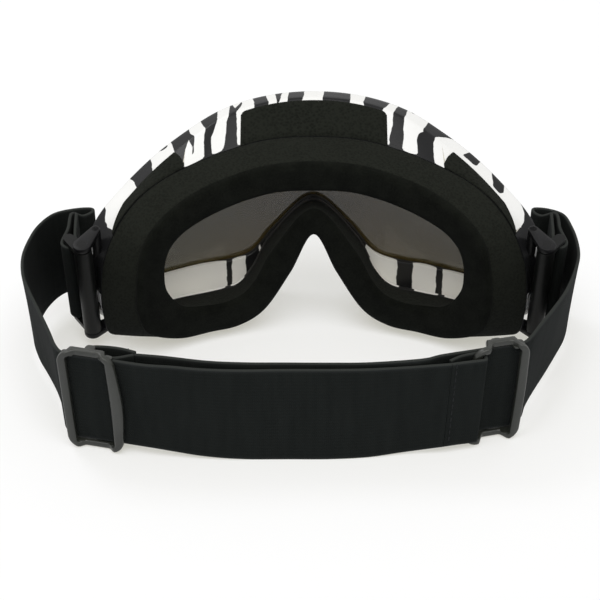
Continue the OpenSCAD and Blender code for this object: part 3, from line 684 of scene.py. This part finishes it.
PIN_X, HOOK_Y, HOOK_TOP, HOOK_TILT = 85.5, -21.532, 48.3, radians(14)
HOOK_H, PIN_R, LUG_R, RIB_R, LUG_T, LUG_GAP = 41.4, 1.8, 3.4, 1.9, 2.2, 0.3


def hooked(p):
    """Points of a hook's own frame, z = 0 at its lower end, in the goggles' frame: turned
    about x at its upper end so that the lower end leans forwards."""
    x, y, z = p[..., 0], p[..., 1], p[..., 2] - HOOK_H
    return np.stack([x, HOOK_Y + y * cos(HOOK_TILT) - z * sin(HOOK_TILT),
                     HOOK_TOP + y * sin(HOOK_TILT) + z * cos(HOOK_TILT)], -1)


def lug(name, side, at, low, finish):
    """Flat lug with a hole: the hull of a circle round the pin and one round the rib, which
    stands at that place from the pin. At each normal angle the outline is on the circle that
    reaches further that way; the outer edges are rounded."""
    away = np.stack(circle(64), -1)
    at = np.array([side * at[0], at[1]])
    far = (away @ at + RIB_R > LUG_R)[:, None]
    edge = np.where(far, at + RIB_R * away, LUG_R * away)
    hole = (PIN_R + 0.02) * away
    r = 0.45
    rim = [(edge - inset * away, z) for inset, z in ((r, 0.0), (0.3 * r, 0.3 * r), (0.0, r))]
    rows = [(hole, 0.0), *rim, *[(q, LUG_T - z) for q, z in rim[::-1]], (hole, LUG_T)]
    p = np.stack([np.column_stack([q[:, 0] + side * PIN_X, q[:, 1], np.full(64, low + z)])
                  for q, z in rows])
    return mesh(name, hooked(p), grid_faces(8, 64), [finish])


def rib(name, side, at, low, high, finish):
    """Upright round rib with a domed end."""
    c, s = circle(32)
    prof = np.array([(0.02, low), (1.2, low), (1.7, low + 0.3), (RIB_R, low + 0.8),
                     (RIB_R, high - 0.6), (1.7, high - 0.15), (1.3, high), (0.02, high)])
    r, z = prof[:, :1], prof[:, 1:]
    p = np.stack([side * (PIN_X + at[0]) + r * c, at[1] + r * s, z + 0 * c], -1)
    return mesh(name, hooked(p), grid_faces(8, 32), [finish])


# ---- lens

def lens(finish):
    """Lens: rings from the middle to its edge, on the front and the back cylinder, with a
    rounded edge between. A ring is the edge's outline shrunk towards the middle."""
    t = np.linspace(0, PLACES, 256, endpoint=False)
    edge = inwards(OPENING, t, 1.1 - GROOVE)
    middle = np.array([0.0, 60.0])
    front, r = RIM_R - LIP - 0.3, 0.12
    share = np.append(np.linspace(0.002, 0.97, 26), [0.985, 0.995])
    depth = np.repeat([0, r, LENS_T - r, LENS_T], [len(share), 1, 1, len(share)])
    share = np.concatenate([share, [1.0, 1.0], share[::-1]])
    flat = (middle + share[:, None, None] * (edge - middle)) * [front / RIM_R, 1]
    p = bend(flat, front, RIM_YC, depth[:, None])
    return mesh("lens_sheet", p, capped_faces(len(share), 256), [finish], sharp=50)


# ---- foam and fleece

def face_foam(finish):
    """Foam: softened sections between the flange, f = 0, and the fleece, f = 1, both sides
    slightly bulged."""
    t = np.linspace(0, PLACES, 520, endpoint=False)
    corners = []
    for a, b, f, push in ((FLANGE, SEAL, 0, 0), (FLANGE_IN, PORT, 0, 0),
                          (FLANGE_IN, PORT, 0.5, 0.4), (FLANGE_IN, PORT, 1, 0),
                          (FLANGE, SEAL, 1, 0), (FLANGE, SEAL, 0.5, -0.5)):
        p = on_flange(inwards(a, t, push))
        q = bend(inwards(b, t, push), FACE_R + FLEECE_T, FACE_YC)
        corners.append(p + f * (q - p))
    p, _ = sections(np.stack(corners, 1), [0.8, 0.5, 3.5, 0.4, 0.4, 4.0], [4, 4, 4, 4, 5, 5])
    return mesh("foam_block", p, grid_faces(*p.shape[:2]), [finish])


def face_fleece(finish):
    """Fleece: softened sections that roll over both edges of the foam's face."""
    t = np.linspace(0, PLACES, 520, endpoint=False)
    under, half = FACE_R + FLEECE_T + 0.1, FACE_R + FLEECE_T * 0.45
    corners = [bend(inwards(a, t, s), r, FACE_YC) for a, s, r in (
        (SEAL, -0.15, under), (PORT, 0.15, under), (PORT, -0.4, half), (PORT, -2, FACE_R),
        (SEAL, 2.4, FACE_R), (SEAL, 0.6, half))]
    p, _ = sections(np.stack(corners, 1), [0.3, 0.3, 1.4, 2.2, 2.4, 1.6], [3, 1, 1, 6, 1, 1], 5)
    return mesh("fleece_band", p, grid_faces(*p.shape[:2]), [finish])


def vent_foam(name, spans, finish):
    """Foam pads in the windows between the places of each span: two sheets over the window,
    their edges joined. The outer one is crowned and laps over the window's edges."""
    lap, crown, thick = 0.012, 0.6, 4.0
    rows_a_place, columns = 22, 15
    points, faces, base = [], [], 0
    for t0, t1 in spans:
        i = np.linspace(0, 1, max(14, round((t1 - t0) * rows_a_place)))[:, None]
        j = np.linspace(0, 1, columns)[None]
        t = t0 - lap + (t1 - t0 + 2 * lap) * i + 0 * j
        near = (np.clip(t + d, t0 + 0.001, t1 - 0.001) for d in (-lap, lap))
        start = np.minimum(*map(window_start, near)) + lap
        lift = (1 - abs(2 * i - 1) ** 10) ** 0.5 * (1 - abs(2 * j - 1) ** 6) ** 0.5
        top = skin(t, start - 0.035 + (1.035 - start) * j, -0.12 - crown * lift)
        under = skin(t, start + (WINDOW_END - lap - start) * j, thick + 0.2 * lift)
        n, m = t.shape
        ring = np.concatenate([np.arange(m), np.arange(1, n) * m + m - 1,
                               (n - 1) * m + np.arange(m - 2, -1, -1),
                               np.arange(n - 2, 0, -1) * m])
        sheet, after = grid_faces(n, m, False, False), np.roll(ring, -1)
        rim = np.stack([ring, after, after + n * m, ring + n * m], -1)
        faces.append(np.vstack([sheet, sheet[:, ::-1] + n * m, rim]) + base)
        points += [top.reshape(-1, 3), under.reshape(-1, 3)]
        base += 2 * n * m
    return mesh(name, np.vstack(points), np.vstack(faces), [finish], sharp=60)


# ---- webbing routes

SLIDER_RAIL, SLIDER_BAR_T, SLIDER_BAR_W, SLIDER_W, SLIDER_CORNER = 2.4, 2.4, 3.2, 20.5, 5.0
SLIDER_H, DIP_END, PLAY = STRAP_W + 2 * (SLIDER_RAIL + 0.4), 7, 0.3
LEFT_AT, LEFT_TURN = (12 - HALF_W, 7.4 - STRAP_BACK), radians(-15)
RIGHT_AT, RIGHT_TURN = (HALF_W - 27, 13.8 - STRAP_BACK), radians(16)
# How far the bars stand outside of the webbing's middle, the middle bars inside of it
LEFT_BAR_V = STRAP_T / 2 + PLAY + SLIDER_BAR_T / 2
RIGHT_BAR_V = LEFT_BAR_V + STRAP_T + PLAY
LEFT_MID_V = -(STRAP_T * 1.5 + 2 * PLAY + SLIDER_BAR_T / 2)
RIGHT_MID_V = -(STRAP_T / 2 + PLAY + SLIDER_BAR_T / 2)
STRAP_LOW = (SLIDER_RAIL + 0.4) * cos(TILT) + (RIGHT_BAR_V + SLIDER_BAR_T / 2) * sin(TILT)
SIDE_Y = RIM_YC + sqrt(RIM_R ** 2 - HALF_W ** 2)
BAR_X, BAR_Y, BAR_R = HALF_W + 3.4, 6.5, 1.5
WEB_Z = 2.2


def seats(at, turn, rows):
    """Route points at rows of u along a slider and v outwards from its webbing: plan position,
    height of the lower edge, and how far the top edge leans out."""
    return [[at[0] + u * cos(turn) + v * sin(turn), at[1] + u * sin(turn) - v * cos(turn),
             STRAP_LOW - v * sin(TILT), LEAN * sin(turn), -LEAN * cos(turn)] for u, v in rows]


def left_seats(*rows): return seats(LEFT_AT, LEFT_TURN, rows)
def right_seats(*rows): return seats(RIGHT_AT, RIGHT_TURN, rows)


def spots(x, y, *rows):
    """Route points whose plan positions are given from x, y."""
    return [[x + a, y + b, *rest] for a, b, *rest in rows]


def hook_route(s):
    """From the sewn tail round the hook's bar, on side s."""
    wrap = BAR_R + 0.6 + STRAP_T / 2
    lean = -STRAP_W * sin(HOOK_TILT)
    rows = spots(BAR_X, BAR_Y, (-0.9, 14, 0.7), (-1.4, 7.5, 0.9), (-1.9, 3.2, 1), (-wrap, 0, 1),
                 (0, -wrap, 1), (wrap, 0, 1), (1.3, 7, 0.9), (0.8, 14, 0.7))
    return [[*hooked(np.array([s * x, y, WEB_Z])), 0, lean * k] for x, y, k in rows]


EAR_L, EAR_R = HALF_W + 20, HALF_W + 11
LEFT_ROUTE = [
    *hook_route(-1),
    *spots(-HALF_W, SIDE_Y, (-0.6, 20.2, 11.8, 0, -5), (2.4, 24, 11.2, 0, -4),
           (1, 26.5, 10.8, 0, -3.4), (-5.5, 25.8, 10.2, -0.2, -2.6),
           (-12.5, 21.6, 9.6, -0.3, -1.4)),
    *spots(-EAR_L, SIDE_Y, (2.8, 12.4, 8.8, -0.3, -0.4), (0.9, 1.1, 8, -0.6, 0),
           (1.5, -10.9, 7.2, -1.8, 0.4)),
    *spots(-EAR_L, -STRAP_BACK, (5.4, 54, 6.5, -3.6, -0.4), (10.4, 43.5, 5.9, -4.4, -1.4),
           (15, 33, 5.3, -4.2, -2.4), (18.6, 22, 4.7, -3, -3.2)),
    *left_seats((-13, -3.2), (-8.6, -0.2))]
OUTER_ROUTE = [
    *left_seats((-2, 0), (8, 0), (20, 0)),
    *spots(-HALF_W, -STRAP_BACK, (40, 1.1, 2.3, 0, -2.6), (48, 0.3, 1.3, 0, -1.7),
           (57, -0.1, 0.5, 0, -0.8), (67, -0.1, 0, 0, -0.2), (78, 0, 0, 0, 0)),
    *spots(0, -STRAP_BACK, (4, 0, 0, 0, 0), (18, 0.9, 0.2, 0, -0.8), (30, 2.8, 0.9, 0.8, -2.4)),
    *right_seats((-18.66, 5.3))]
RIGHT_ROUTE = [
    *hook_route(1),
    *spots(HALF_W, SIDE_Y, (-0.6, 20.2, 11.8, 0, -5), (-3, 24, 11.2, 0, -4),
           (-1.8, 26.5, 10.8, 0, -3.4), (3.4, 25.7, 10.2, 0.2, -2.6)),
    *spots(EAR_R, SIDE_Y, (-2.4, 21, 9.6, 0.2, -1.4), (-0.4, 11, 8.8, 0, 0),
           (-1, 0.6, 8, 1.2, 0.5), (-3.8, -9.9, 7.3, 3.2, 0.6)),
    *spots(EAR_R, -STRAP_BACK, (-8.8, 56, 6.7, 4.8, -0.4), (-14.2, 45, 6, 5.2, -1.8),
           (-19.6, 34.5, 5.3, 4.4, -2.8), (-23.8, 25.5, 4.8, 3, -3.4)),
    *right_seats((13.4, -2.6), (9.2, -0.1))]
INNER_ROUTE = [
    *right_seats((2, 0), (-8, 0), (-20, 0), (-28, 0.6)),
    *spots(0, -STRAP_BACK, (18, 3.9, 1, 0.4, -1.2), (4, 2.9, 0.7, 0, 0)),
    *spots(-HALF_W, -STRAP_BACK, (77, 3, 0.7, 0, 0), (64, 3.8, 0.9, 0, -1),
           (51, 5.2, 1.5, 0, -2.2)),
    *left_seats((25, -5.6), (15.3, -4.7))]
FOLD_R = SLIDER_BAR_T / 2 + PLAY + STRAP_T / 2
LEFT_FOLD = left_seats(
    (15, -4.5), (9, LEFT_MID_V + FOLD_R + 0.1), (4, LEFT_MID_V + FOLD_R),
    (0, LEFT_MID_V + FOLD_R), (-FOLD_R, LEFT_MID_V), (0, LEFT_MID_V - FOLD_R),
    (5, LEFT_MID_V - FOLD_R - 0.9), (10, LEFT_MID_V - FOLD_R - 1), (15, -6))
BAR_U, SIDE_R = -(SLIDER_W - SLIDER_BAR_W) / 2, SLIDER_BAR_W / 2 + PLAY + STRAP_T / 2
CORNER = 0.88
RIGHT_FOLD = right_seats(
    (-18.6, 5.3), (-14, 5.4), (BAR_U, RIGHT_BAR_V + FOLD_R),
    (BAR_U + SIDE_R * CORNER, RIGHT_BAR_V + FOLD_R * CORNER), (BAR_U + SIDE_R, RIGHT_BAR_V),
    (BAR_U + SIDE_R * CORNER, RIGHT_BAR_V - FOLD_R * CORNER), (BAR_U, RIGHT_BAR_V - FOLD_R),
    (-14, 1.9), (-18.6, 3.4))
LEFT_LENGTH, LEFT_END = LEFT_ROUTE + OUTER_ROUTE, len(LEFT_ROUTE) - 1
RIGHT_LENGTH, RIGHT_END = RIGHT_ROUTE + INNER_ROUTE, len(RIGHT_ROUTE) - 1


def web_frame(route, t):
    """Foot, upright and outward unit vectors of the webbing at the places t of a route: the
    foot is its lower edge, and the webbing's width is always the same."""
    p = along(route, t)
    last = len(route) - 1
    d = along(route, np.minimum(t + 0.01, last)) - along(route, np.maximum(t - 0.01, 0))
    rise = np.sqrt(STRAP_W ** 2 - p[:, 3] ** 2 - p[:, 4] ** 2)
    up = np.column_stack([p[:, 3], p[:, 4], rise])
    out = unit(np.cross(up, d[:, :3]))
    low = np.maximum(abs(out[:, 2]) * STRAP_T / 2, p[:, 2])
    return np.column_stack([p[:, :2], low]), up / STRAP_W, out


def webbing(name, route, t0, t1, finish):
    """Woven band on edge: a flat section with half-round edges carried along a route, at 14
    places from point to point. Its weave map is its length and the height across it, in
    mm / 100."""
    t = np.linspace(t0, t1, max(8, round((t1 - t0) * 14)) + 1)
    foot, up, out = web_frame(route, t)
    half = STRAP_T / 2
    turn = np.linspace(-pi / 2, pi / 2, 7)[1:-1]
    tall, thick = half * np.cos(turn), half * np.sin(turn)
    flat = np.linspace(half, STRAP_W - half, 15)
    height = np.concatenate([flat, STRAP_W - half + tall, flat[::-1], half - tall])
    thick = np.concatenate([np.full(15, -half), thick, np.full(15, half), -thick])
    p = (foot[:, None] + height[None, :, None] * up[:, None]
         + thick[None, :, None] * out[:, None])
    first = run_of(along(route, np.linspace(0, t0, 1200))[:, :3])[-1]
    run = first + run_of(foot)
    uv = np.stack(np.broadcast_arrays(run[:, None] / 100, height[None] / 100), -1)
    return mesh(name, p, capped_faces(*p.shape[:2]), [finish], uv=uv, sharp=50)


def stitches(name, route, places, side, finish):
    """Rows of stitches across the webbing: each stitch is a thin grain, 2.2 mm long and half
    sunk in the face on that side, and a row is a run of them up the webbing at one place of
    its route."""
    pitch, half, thick, wide = 2.9, 1.1, 0.24, 0.26
    k = np.arange(2.5, 34.5, pitch)
    rings, turns = 7, 8
    b = np.linspace(0.05, pi - 0.05, rings)
    c, s = (v[None, :, None] for v in circle(turns))
    points = []
    for t in places:
        foot, up, out = (v[0] for v in web_frame(route, np.array([float(t)])))
        length = unit(np.cross(out, up))
        mid = foot + (k[:, None] + pitch / 2) * up + side * (STRAP_T / 2 + 0.02) * out
        grain = (np.cos(b)[:, None, None] * half * up
                 + np.sin(b)[:, None, None] * (c * thick * out + s * wide * length))
        points.append(mid[:, None, None] + grain)
    p = np.concatenate(points)
    faces = [[i + g * rings * turns for i in f]
             for g in range(len(p)) for f in capped_faces(rings, turns)]
    return mesh(name, p, faces, [finish], sharp=70)


# ---- sliders

def in_slider(p, at, turn):
    """Points of a slider's own frame, x along the webbing, y inwards and z up from its middle,
    in the goggles' frame: leaned by the tilt, then turned."""
    x, y, z = p[..., 0], p[..., 1], p[..., 2] + STRAP_W / 2
    y, z = y * cos(TILT) - z * sin(TILT), y * sin(TILT) + z * cos(TILT)
    return np.stack([at[0] + x * cos(turn) - y * sin(turn), at[1] + x * sin(turn) + y * cos(turn),
                     STRAP_LOW + z], -1)


def rounded_frame(w, h, r):
    """Rounded rectangle w by h: quarter circles of radius r in 10 points, each followed by 14
    points on the straight to the next."""
    a = np.linspace(0, pi / 2, 10)
    k = np.linspace(0, 1, 16)[1:-1, None]
    arcs = [np.array([x * (w / 2 - r), z * (h / 2 - r)])
            + r * np.stack([np.cos(a + q * pi / 2), np.sin(a + q * pi / 2)], -1)
            for q, (x, z) in enumerate(((1, 1), (-1, 1), (-1, -1), (1, -1)))]
    return np.concatenate([part for arc, after in zip(arcs, arcs[1:] + arcs[:1])
                           for part in (arc, arc[-1] + k * (after[0] - arc[-1]))])


def slider(name, at, turn, bar_v, mid_v, bow, dip_from, gussets, finish):
    """Slider: a frame whose section is a soft rectangle between an outer and an inner rounded
    rectangle, its right bar bowed by bow mm, a round middle bar on two short links, and
    gussets in the corners on those sides. From dip_from to DIP_END mm along the webbing the
    rails are arched in to its plane: their outer face over 3 mm at both ends, their inner
    face over 0.8 mm."""
    out = rounded_frame(SLIDER_W, SLIDER_H, SLIDER_CORNER)
    into = rounded_frame(SLIDER_W - 2 * SLIDER_BAR_W, SLIDER_H - 2 * SLIDER_RAIL, 0.9)
    c, s = circle(24)
    # The same circle, drawn out towards a square
    sx, sy = (np.sign(v) * abs(v) ** 0.55 for v in (c, s))
    flat = ((out + into) / 2)[:, None] + ((out - into) / 2)[:, None] * sx[None, :, None]
    u, z = flat[..., 0], flat[..., 1]
    bowed = (np.clip(u / (SLIDER_W / 2), 0, 1) ** 4
             * np.cos(np.clip(z / (SLIDER_H / 2), -1, 1) * pi / 2) ** 2)
    slope = 1.9 - 1.1 * sy[None]
    dip = soft((u - dip_from) / slope) * soft((DIP_END - u) / slope)
    v = SLIDER_BAR_T / 2 * sy[None] - bar_v - 0.5 * abs(bow) * bowed + (bar_v - 0.2) * dip
    r = np.array([0.02, 0.7, 1.05, 1.2, 1.2, 1.05, 0.7, 0.02])[:, None]
    z_bar = np.array([-1, -1, -0.97, -0.93, 0.93, 0.97, 1, 1])[:, None] * (SLIDER_H / 2 - 1.7)
    parts = [(u + bow * bowed, v, z), (r * c, r * s - mid_v, z_bar + 0 * c)]
    # Links and gussets: middle and half length along the webbing, inner and outer face, depth
    # below the rail's edge and half height
    blocks = [(0, 1.8, -0.8, 0.9 - mid_v, 1.95, 0.45)]
    blocks += [(6.8 * side, 2.3, -bar_v, 0.8, 2.15, 0.35) for side in gussets]
    wide = np.array([0.02, 0.8, 0.93, 1, 1, 0.93, 0.8, 0.02])[:, None]
    tall = np.array([-1, -1, -0.9, -0.7, 0.7, 0.9, 1, 1])[:, None]
    for x, half, near, far, down, rise in blocks:
        parts += [(x + half * wide * sx, (near + far) / 2 + (far - near) / 2 * wide * sy,
                   end * (SLIDER_H / 2 - down) + tall * rise + 0 * sx) for end in (-1, 1)]
    points, faces, base = [], [], 0
    for part in parts:
        p = np.stack(part, -1)
        faces.append(grid_faces(*p.shape[:2]) + base)
        points.append(p.reshape(-1, 3))
        base += len(points[-1])
    p = in_slider(np.vstack(points), at, turn)
    return mesh(name, p, np.vstack(faces), [finish], sharp=45)


# ---- making the pieces

def make_goggles():
    """The frame with its lugs, the lens, the foams and the fleece, on the goggles' body."""
    black = moulded("lug_plastic", (0.003, 0.003, 0.0033), (0.008, 0.008, 0.0085), 0.32, 0.16)
    shell = [frame_shell(striped_plastic(), plain_plastic_painted_glow())]
    top = HOOK_H + LUG_GAP
    for side, word in ((-1, "left"), (1, "right")):
        shell += [lug(f"lug_upper_{word}", side, (-4, 8.6), top, black),
                  rib(f"rib_{word}", side, (-4, 8.6), HOOK_H - 11, top + LUG_T, black),
                  lug(f"lug_lower_{word}", side, (-8.7, 6.6), -LUG_GAP - LUG_T, black)]
    for part in shell:
        piece(part, "goggle", "frame", "frame_shell")
    piece(lens(smoked_lens()), "goggle", "lens", "lens")
    block = cell_foam("face_foam", (0.0072, 0.0078, 0.006), (0.0142, 0.0156, 0.0122),
                      1100.0, 0.00014)
    pads = cell_foam("vent_foam", (0.0066, 0.0073, 0.0056), (0.0138, 0.0152, 0.0118),
                     900.0, 0.0002)
    piece(face_foam(block), "goggle", "face_foam", "face_foam")
    piece(face_fleece(fleece()), "goggle", "fleece", "face_fleece")
    right = {"side_vent_foam": [SIDE_VENT],
             "bottom_vent_foam": [(LOW_VENT[0], RIB_AT - RIB), (RIB_AT + RIB, LOW_VENT[1])]}
    vents = {"top_vent_foam": [(-TOP_VENT, TOP_VENT)]}
    for word, spans in right.items():
        vents[word + "_right"] = spans
        vents[word + "_left"] = [(PLACES - b, PLACES - a) for a, b in spans[::-1]]
    for node, spans in vents.items():
        piece(vent_foam(node + "_pad", spans, pads), "goggle", "vent_foam", node)


# Way of a slider along the webbing, in metres
SLIDE = 0.008


def place_on(route, t):
    """Foot of the webbing at place t of a route, in the model's frame, in metres."""
    return along(route, np.array([float(t)]))[0, :3] / 1000 + SHIFT / 1000


def make_strap():
    """The two lengths of webbing, split into pieces, with their stitches."""
    cloth, thread = elastic_webbing(), sewing_thread()
    # The front of each length with its stitches, and its side past the split, are baked where
    # they are, in place of the front's and the side's nodes.
    for word, s, route, split, end in (("left", -1, LEFT_LENGTH, 14, LEFT_END),
                                       ("right", 1, RIGHT_LENGTH, 13, RIGHT_END)):
        front = webbing(f"web_front_{word}", route, 0, split, cloth)
        sewn = stitches(f"stitches_front_{word}", route, (1.1, 1.45), 1, thread)
        bar = (hooked(np.array([s * BAR_X, BAR_Y, HOOK_H / 2])) + SHIFT) / 1000
        for p in (front, sewn):
            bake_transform(piece(p, None, "webbing"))
        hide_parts(f"strap_front_{word}")
        side = webbing(f"web_side_{word}", route, split, end, cloth)
        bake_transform(piece(side, None, "webbing", f"strap_side_{word}"), "goggle", "rear_strap",
                 start=(0, place_on(route, split + 0.2)[1], 0),
                 end=(0, place_on(route, end - 0.6)[1], 0))
    # Each rear length is split a little way along, by the slider it runs through, and both parts
    # go on the rear strap's body; the rest gets a mesh of its own.
    for word, route, begin, still, joint, turn in (
            ("outer", LEFT_LENGTH, LEFT_END, 2.06, "right_slider_slide", RIGHT_TURN),
            ("inner", RIGHT_LENGTH, RIGHT_END, 3, "left_slider_slide", LEFT_TURN)):
        split, last = begin + still, len(route) - 1
        fixed = webbing(f"web_{word}_start", route, begin, split, cloth)
        loose = webbing(f"web_{word}_rest", route, split, last, cloth)
        for part in (fixed, loose):
            piece(part, "rear_strap", "webbing", f"strap_rear_{word}")
        axis = np.array([cos(turn), sin(turn), 0])
        a, b = place_on(route, split), place_on(route, last)
        1 - SLIDE / abs((b - a) @ axis)
        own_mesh(loose)
    for word, route, row, side in (("left", LEFT_FOLD, 7.4, 1), ("right", RIGHT_FOLD, 0.35, -1)):
        fold = webbing(f"web_fold_{word}", route, 0, len(route) - 1, cloth)
        piece(fold, f"{word}_slider", "webbing", f"strap_fold_{word}")
        sewn = stitches(f"stitches_fold_{word}", route, (row,), side, thread)
        piece(sewn, f"{word}_slider", "webbing")


def make_hardware():
    """Sliders as finer pieces; hooks and pins keep their solids and get their finish."""
    grey = moulded("slider_plastic", (0.016, 0.0174, 0.0142), (0.025, 0.027, 0.022), 0.27, 0.46)
    for word, *shape in (
            ("left", LEFT_AT, LEFT_TURN, LEFT_BAR_V, LEFT_MID_V, 1.8, -7, (-1, 1)),
            ("right", RIGHT_AT, RIGHT_TURN, RIGHT_BAR_V, RIGHT_MID_V, 0.3, -5, (1,))):
        piece(slider(f"slider_frame_{word}", *shape, grey), f"{word}_slider", "slider",
              f"slider_{word}")
    hook = moulded("hook_plastic", (0.003, 0.0033, 0.003), (0.007, 0.0074, 0.007), 0.32, 0.16)
    pin = moulded("pin_plastic", (0.004, 0.004, 0.004), (0.009, 0.009, 0.009), 0.4, 0.14)
    for part, finish in (("hook", hook), ("hook_pin", pin)):
        for word in ("left", "right"):
            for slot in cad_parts[f"{part}_{word}"].material_slots:
                slot.material = finish


# ---- table and light

def seen_rays(tree):
    """1 for what the camera sees, also in gloss and through the lens, and 0 for the light."""
    paths = tree.nodes.new("ShaderNodeLightPath")
    seen = Field(tree, paths.outputs["Is Camera Ray"])
    for name in ("Is Glossy Ray", "Is Transmission Ray"):
        seen = seen.math("MAXIMUM", seen, Field(tree, paths.outputs[name]))
    return seen


def make_table():
    """Pale table, a shade lighter to the camera than to the light, so that it reads as the
    white sweep of a studio and still keeps the shadows."""
    data = bpy.data.meshes.new("table")
    data.from_pydata([(-4, -4, 0), (4, -4, 0), (4, 4, 0), (-4, 4, 0)], [], [(0, 1, 2, 3)])
    put("table", data)
    f = Finish("table_paint", Roughness=0.9, Specular_IOR_Level=0.1)
    f.set(Base_Color=f.blend(f.noise(3.0), (0.865, 0.885, 0.98), (0.88, 0.9, 0.995)))
    glow = f.add("Emission", Color=(1.0, 0.982, 0.87), Strength=1.18)
    both = f.tree.nodes.new("ShaderNodeMixShader")
    parts = seen_rays(f.tree) * 0.4, Field(f.tree, f.shader.outputs[0]), glow
    for slot, part in zip(both.inputs, parts):
        feed(f.tree, slot, part)
    f.tree.links.new(both.outputs[0], f.tree.nodes["Material Output"].inputs[0])
    data.materials.append(f.material)


def make_light():
    """A white room: even sky, white to the camera, one very soft light from the ceiling
    behind the camera and one small lamp for glints."""
    world = bpy.data.worlds.new("room")
    bpy.context.scene.world = world
    world.use_nodes = True
    tree = world.node_tree
    paint = tree.nodes["Background"]
    feed(tree, paint.inputs["Color"], (1.0, 1.0, 1.0))
    feed(tree, paint.inputs["Strength"], seen_rays(tree) * 0.57 + 0.43)
    sun = bpy.data.lights.new("ceiling", "SUN")
    sun.energy, sun.angle, sun.color = 1.92, radians(55), (1.0, 0.99, 0.97)
    put("ceiling", sun, turn=(32, 0, 0))
    lamp = bpy.data.lights.new("glint", "AREA")
    lamp.size, lamp.energy = 0.3, 1.2
    put("glint", lamp, (-0.45, 0.35, 0.8), (-24, -28, 0))
    bpy.context.scene.view_settings.view_transform = "Standard"


make_goggles()
make_strap()
make_hardware()
make_table()
make_light()
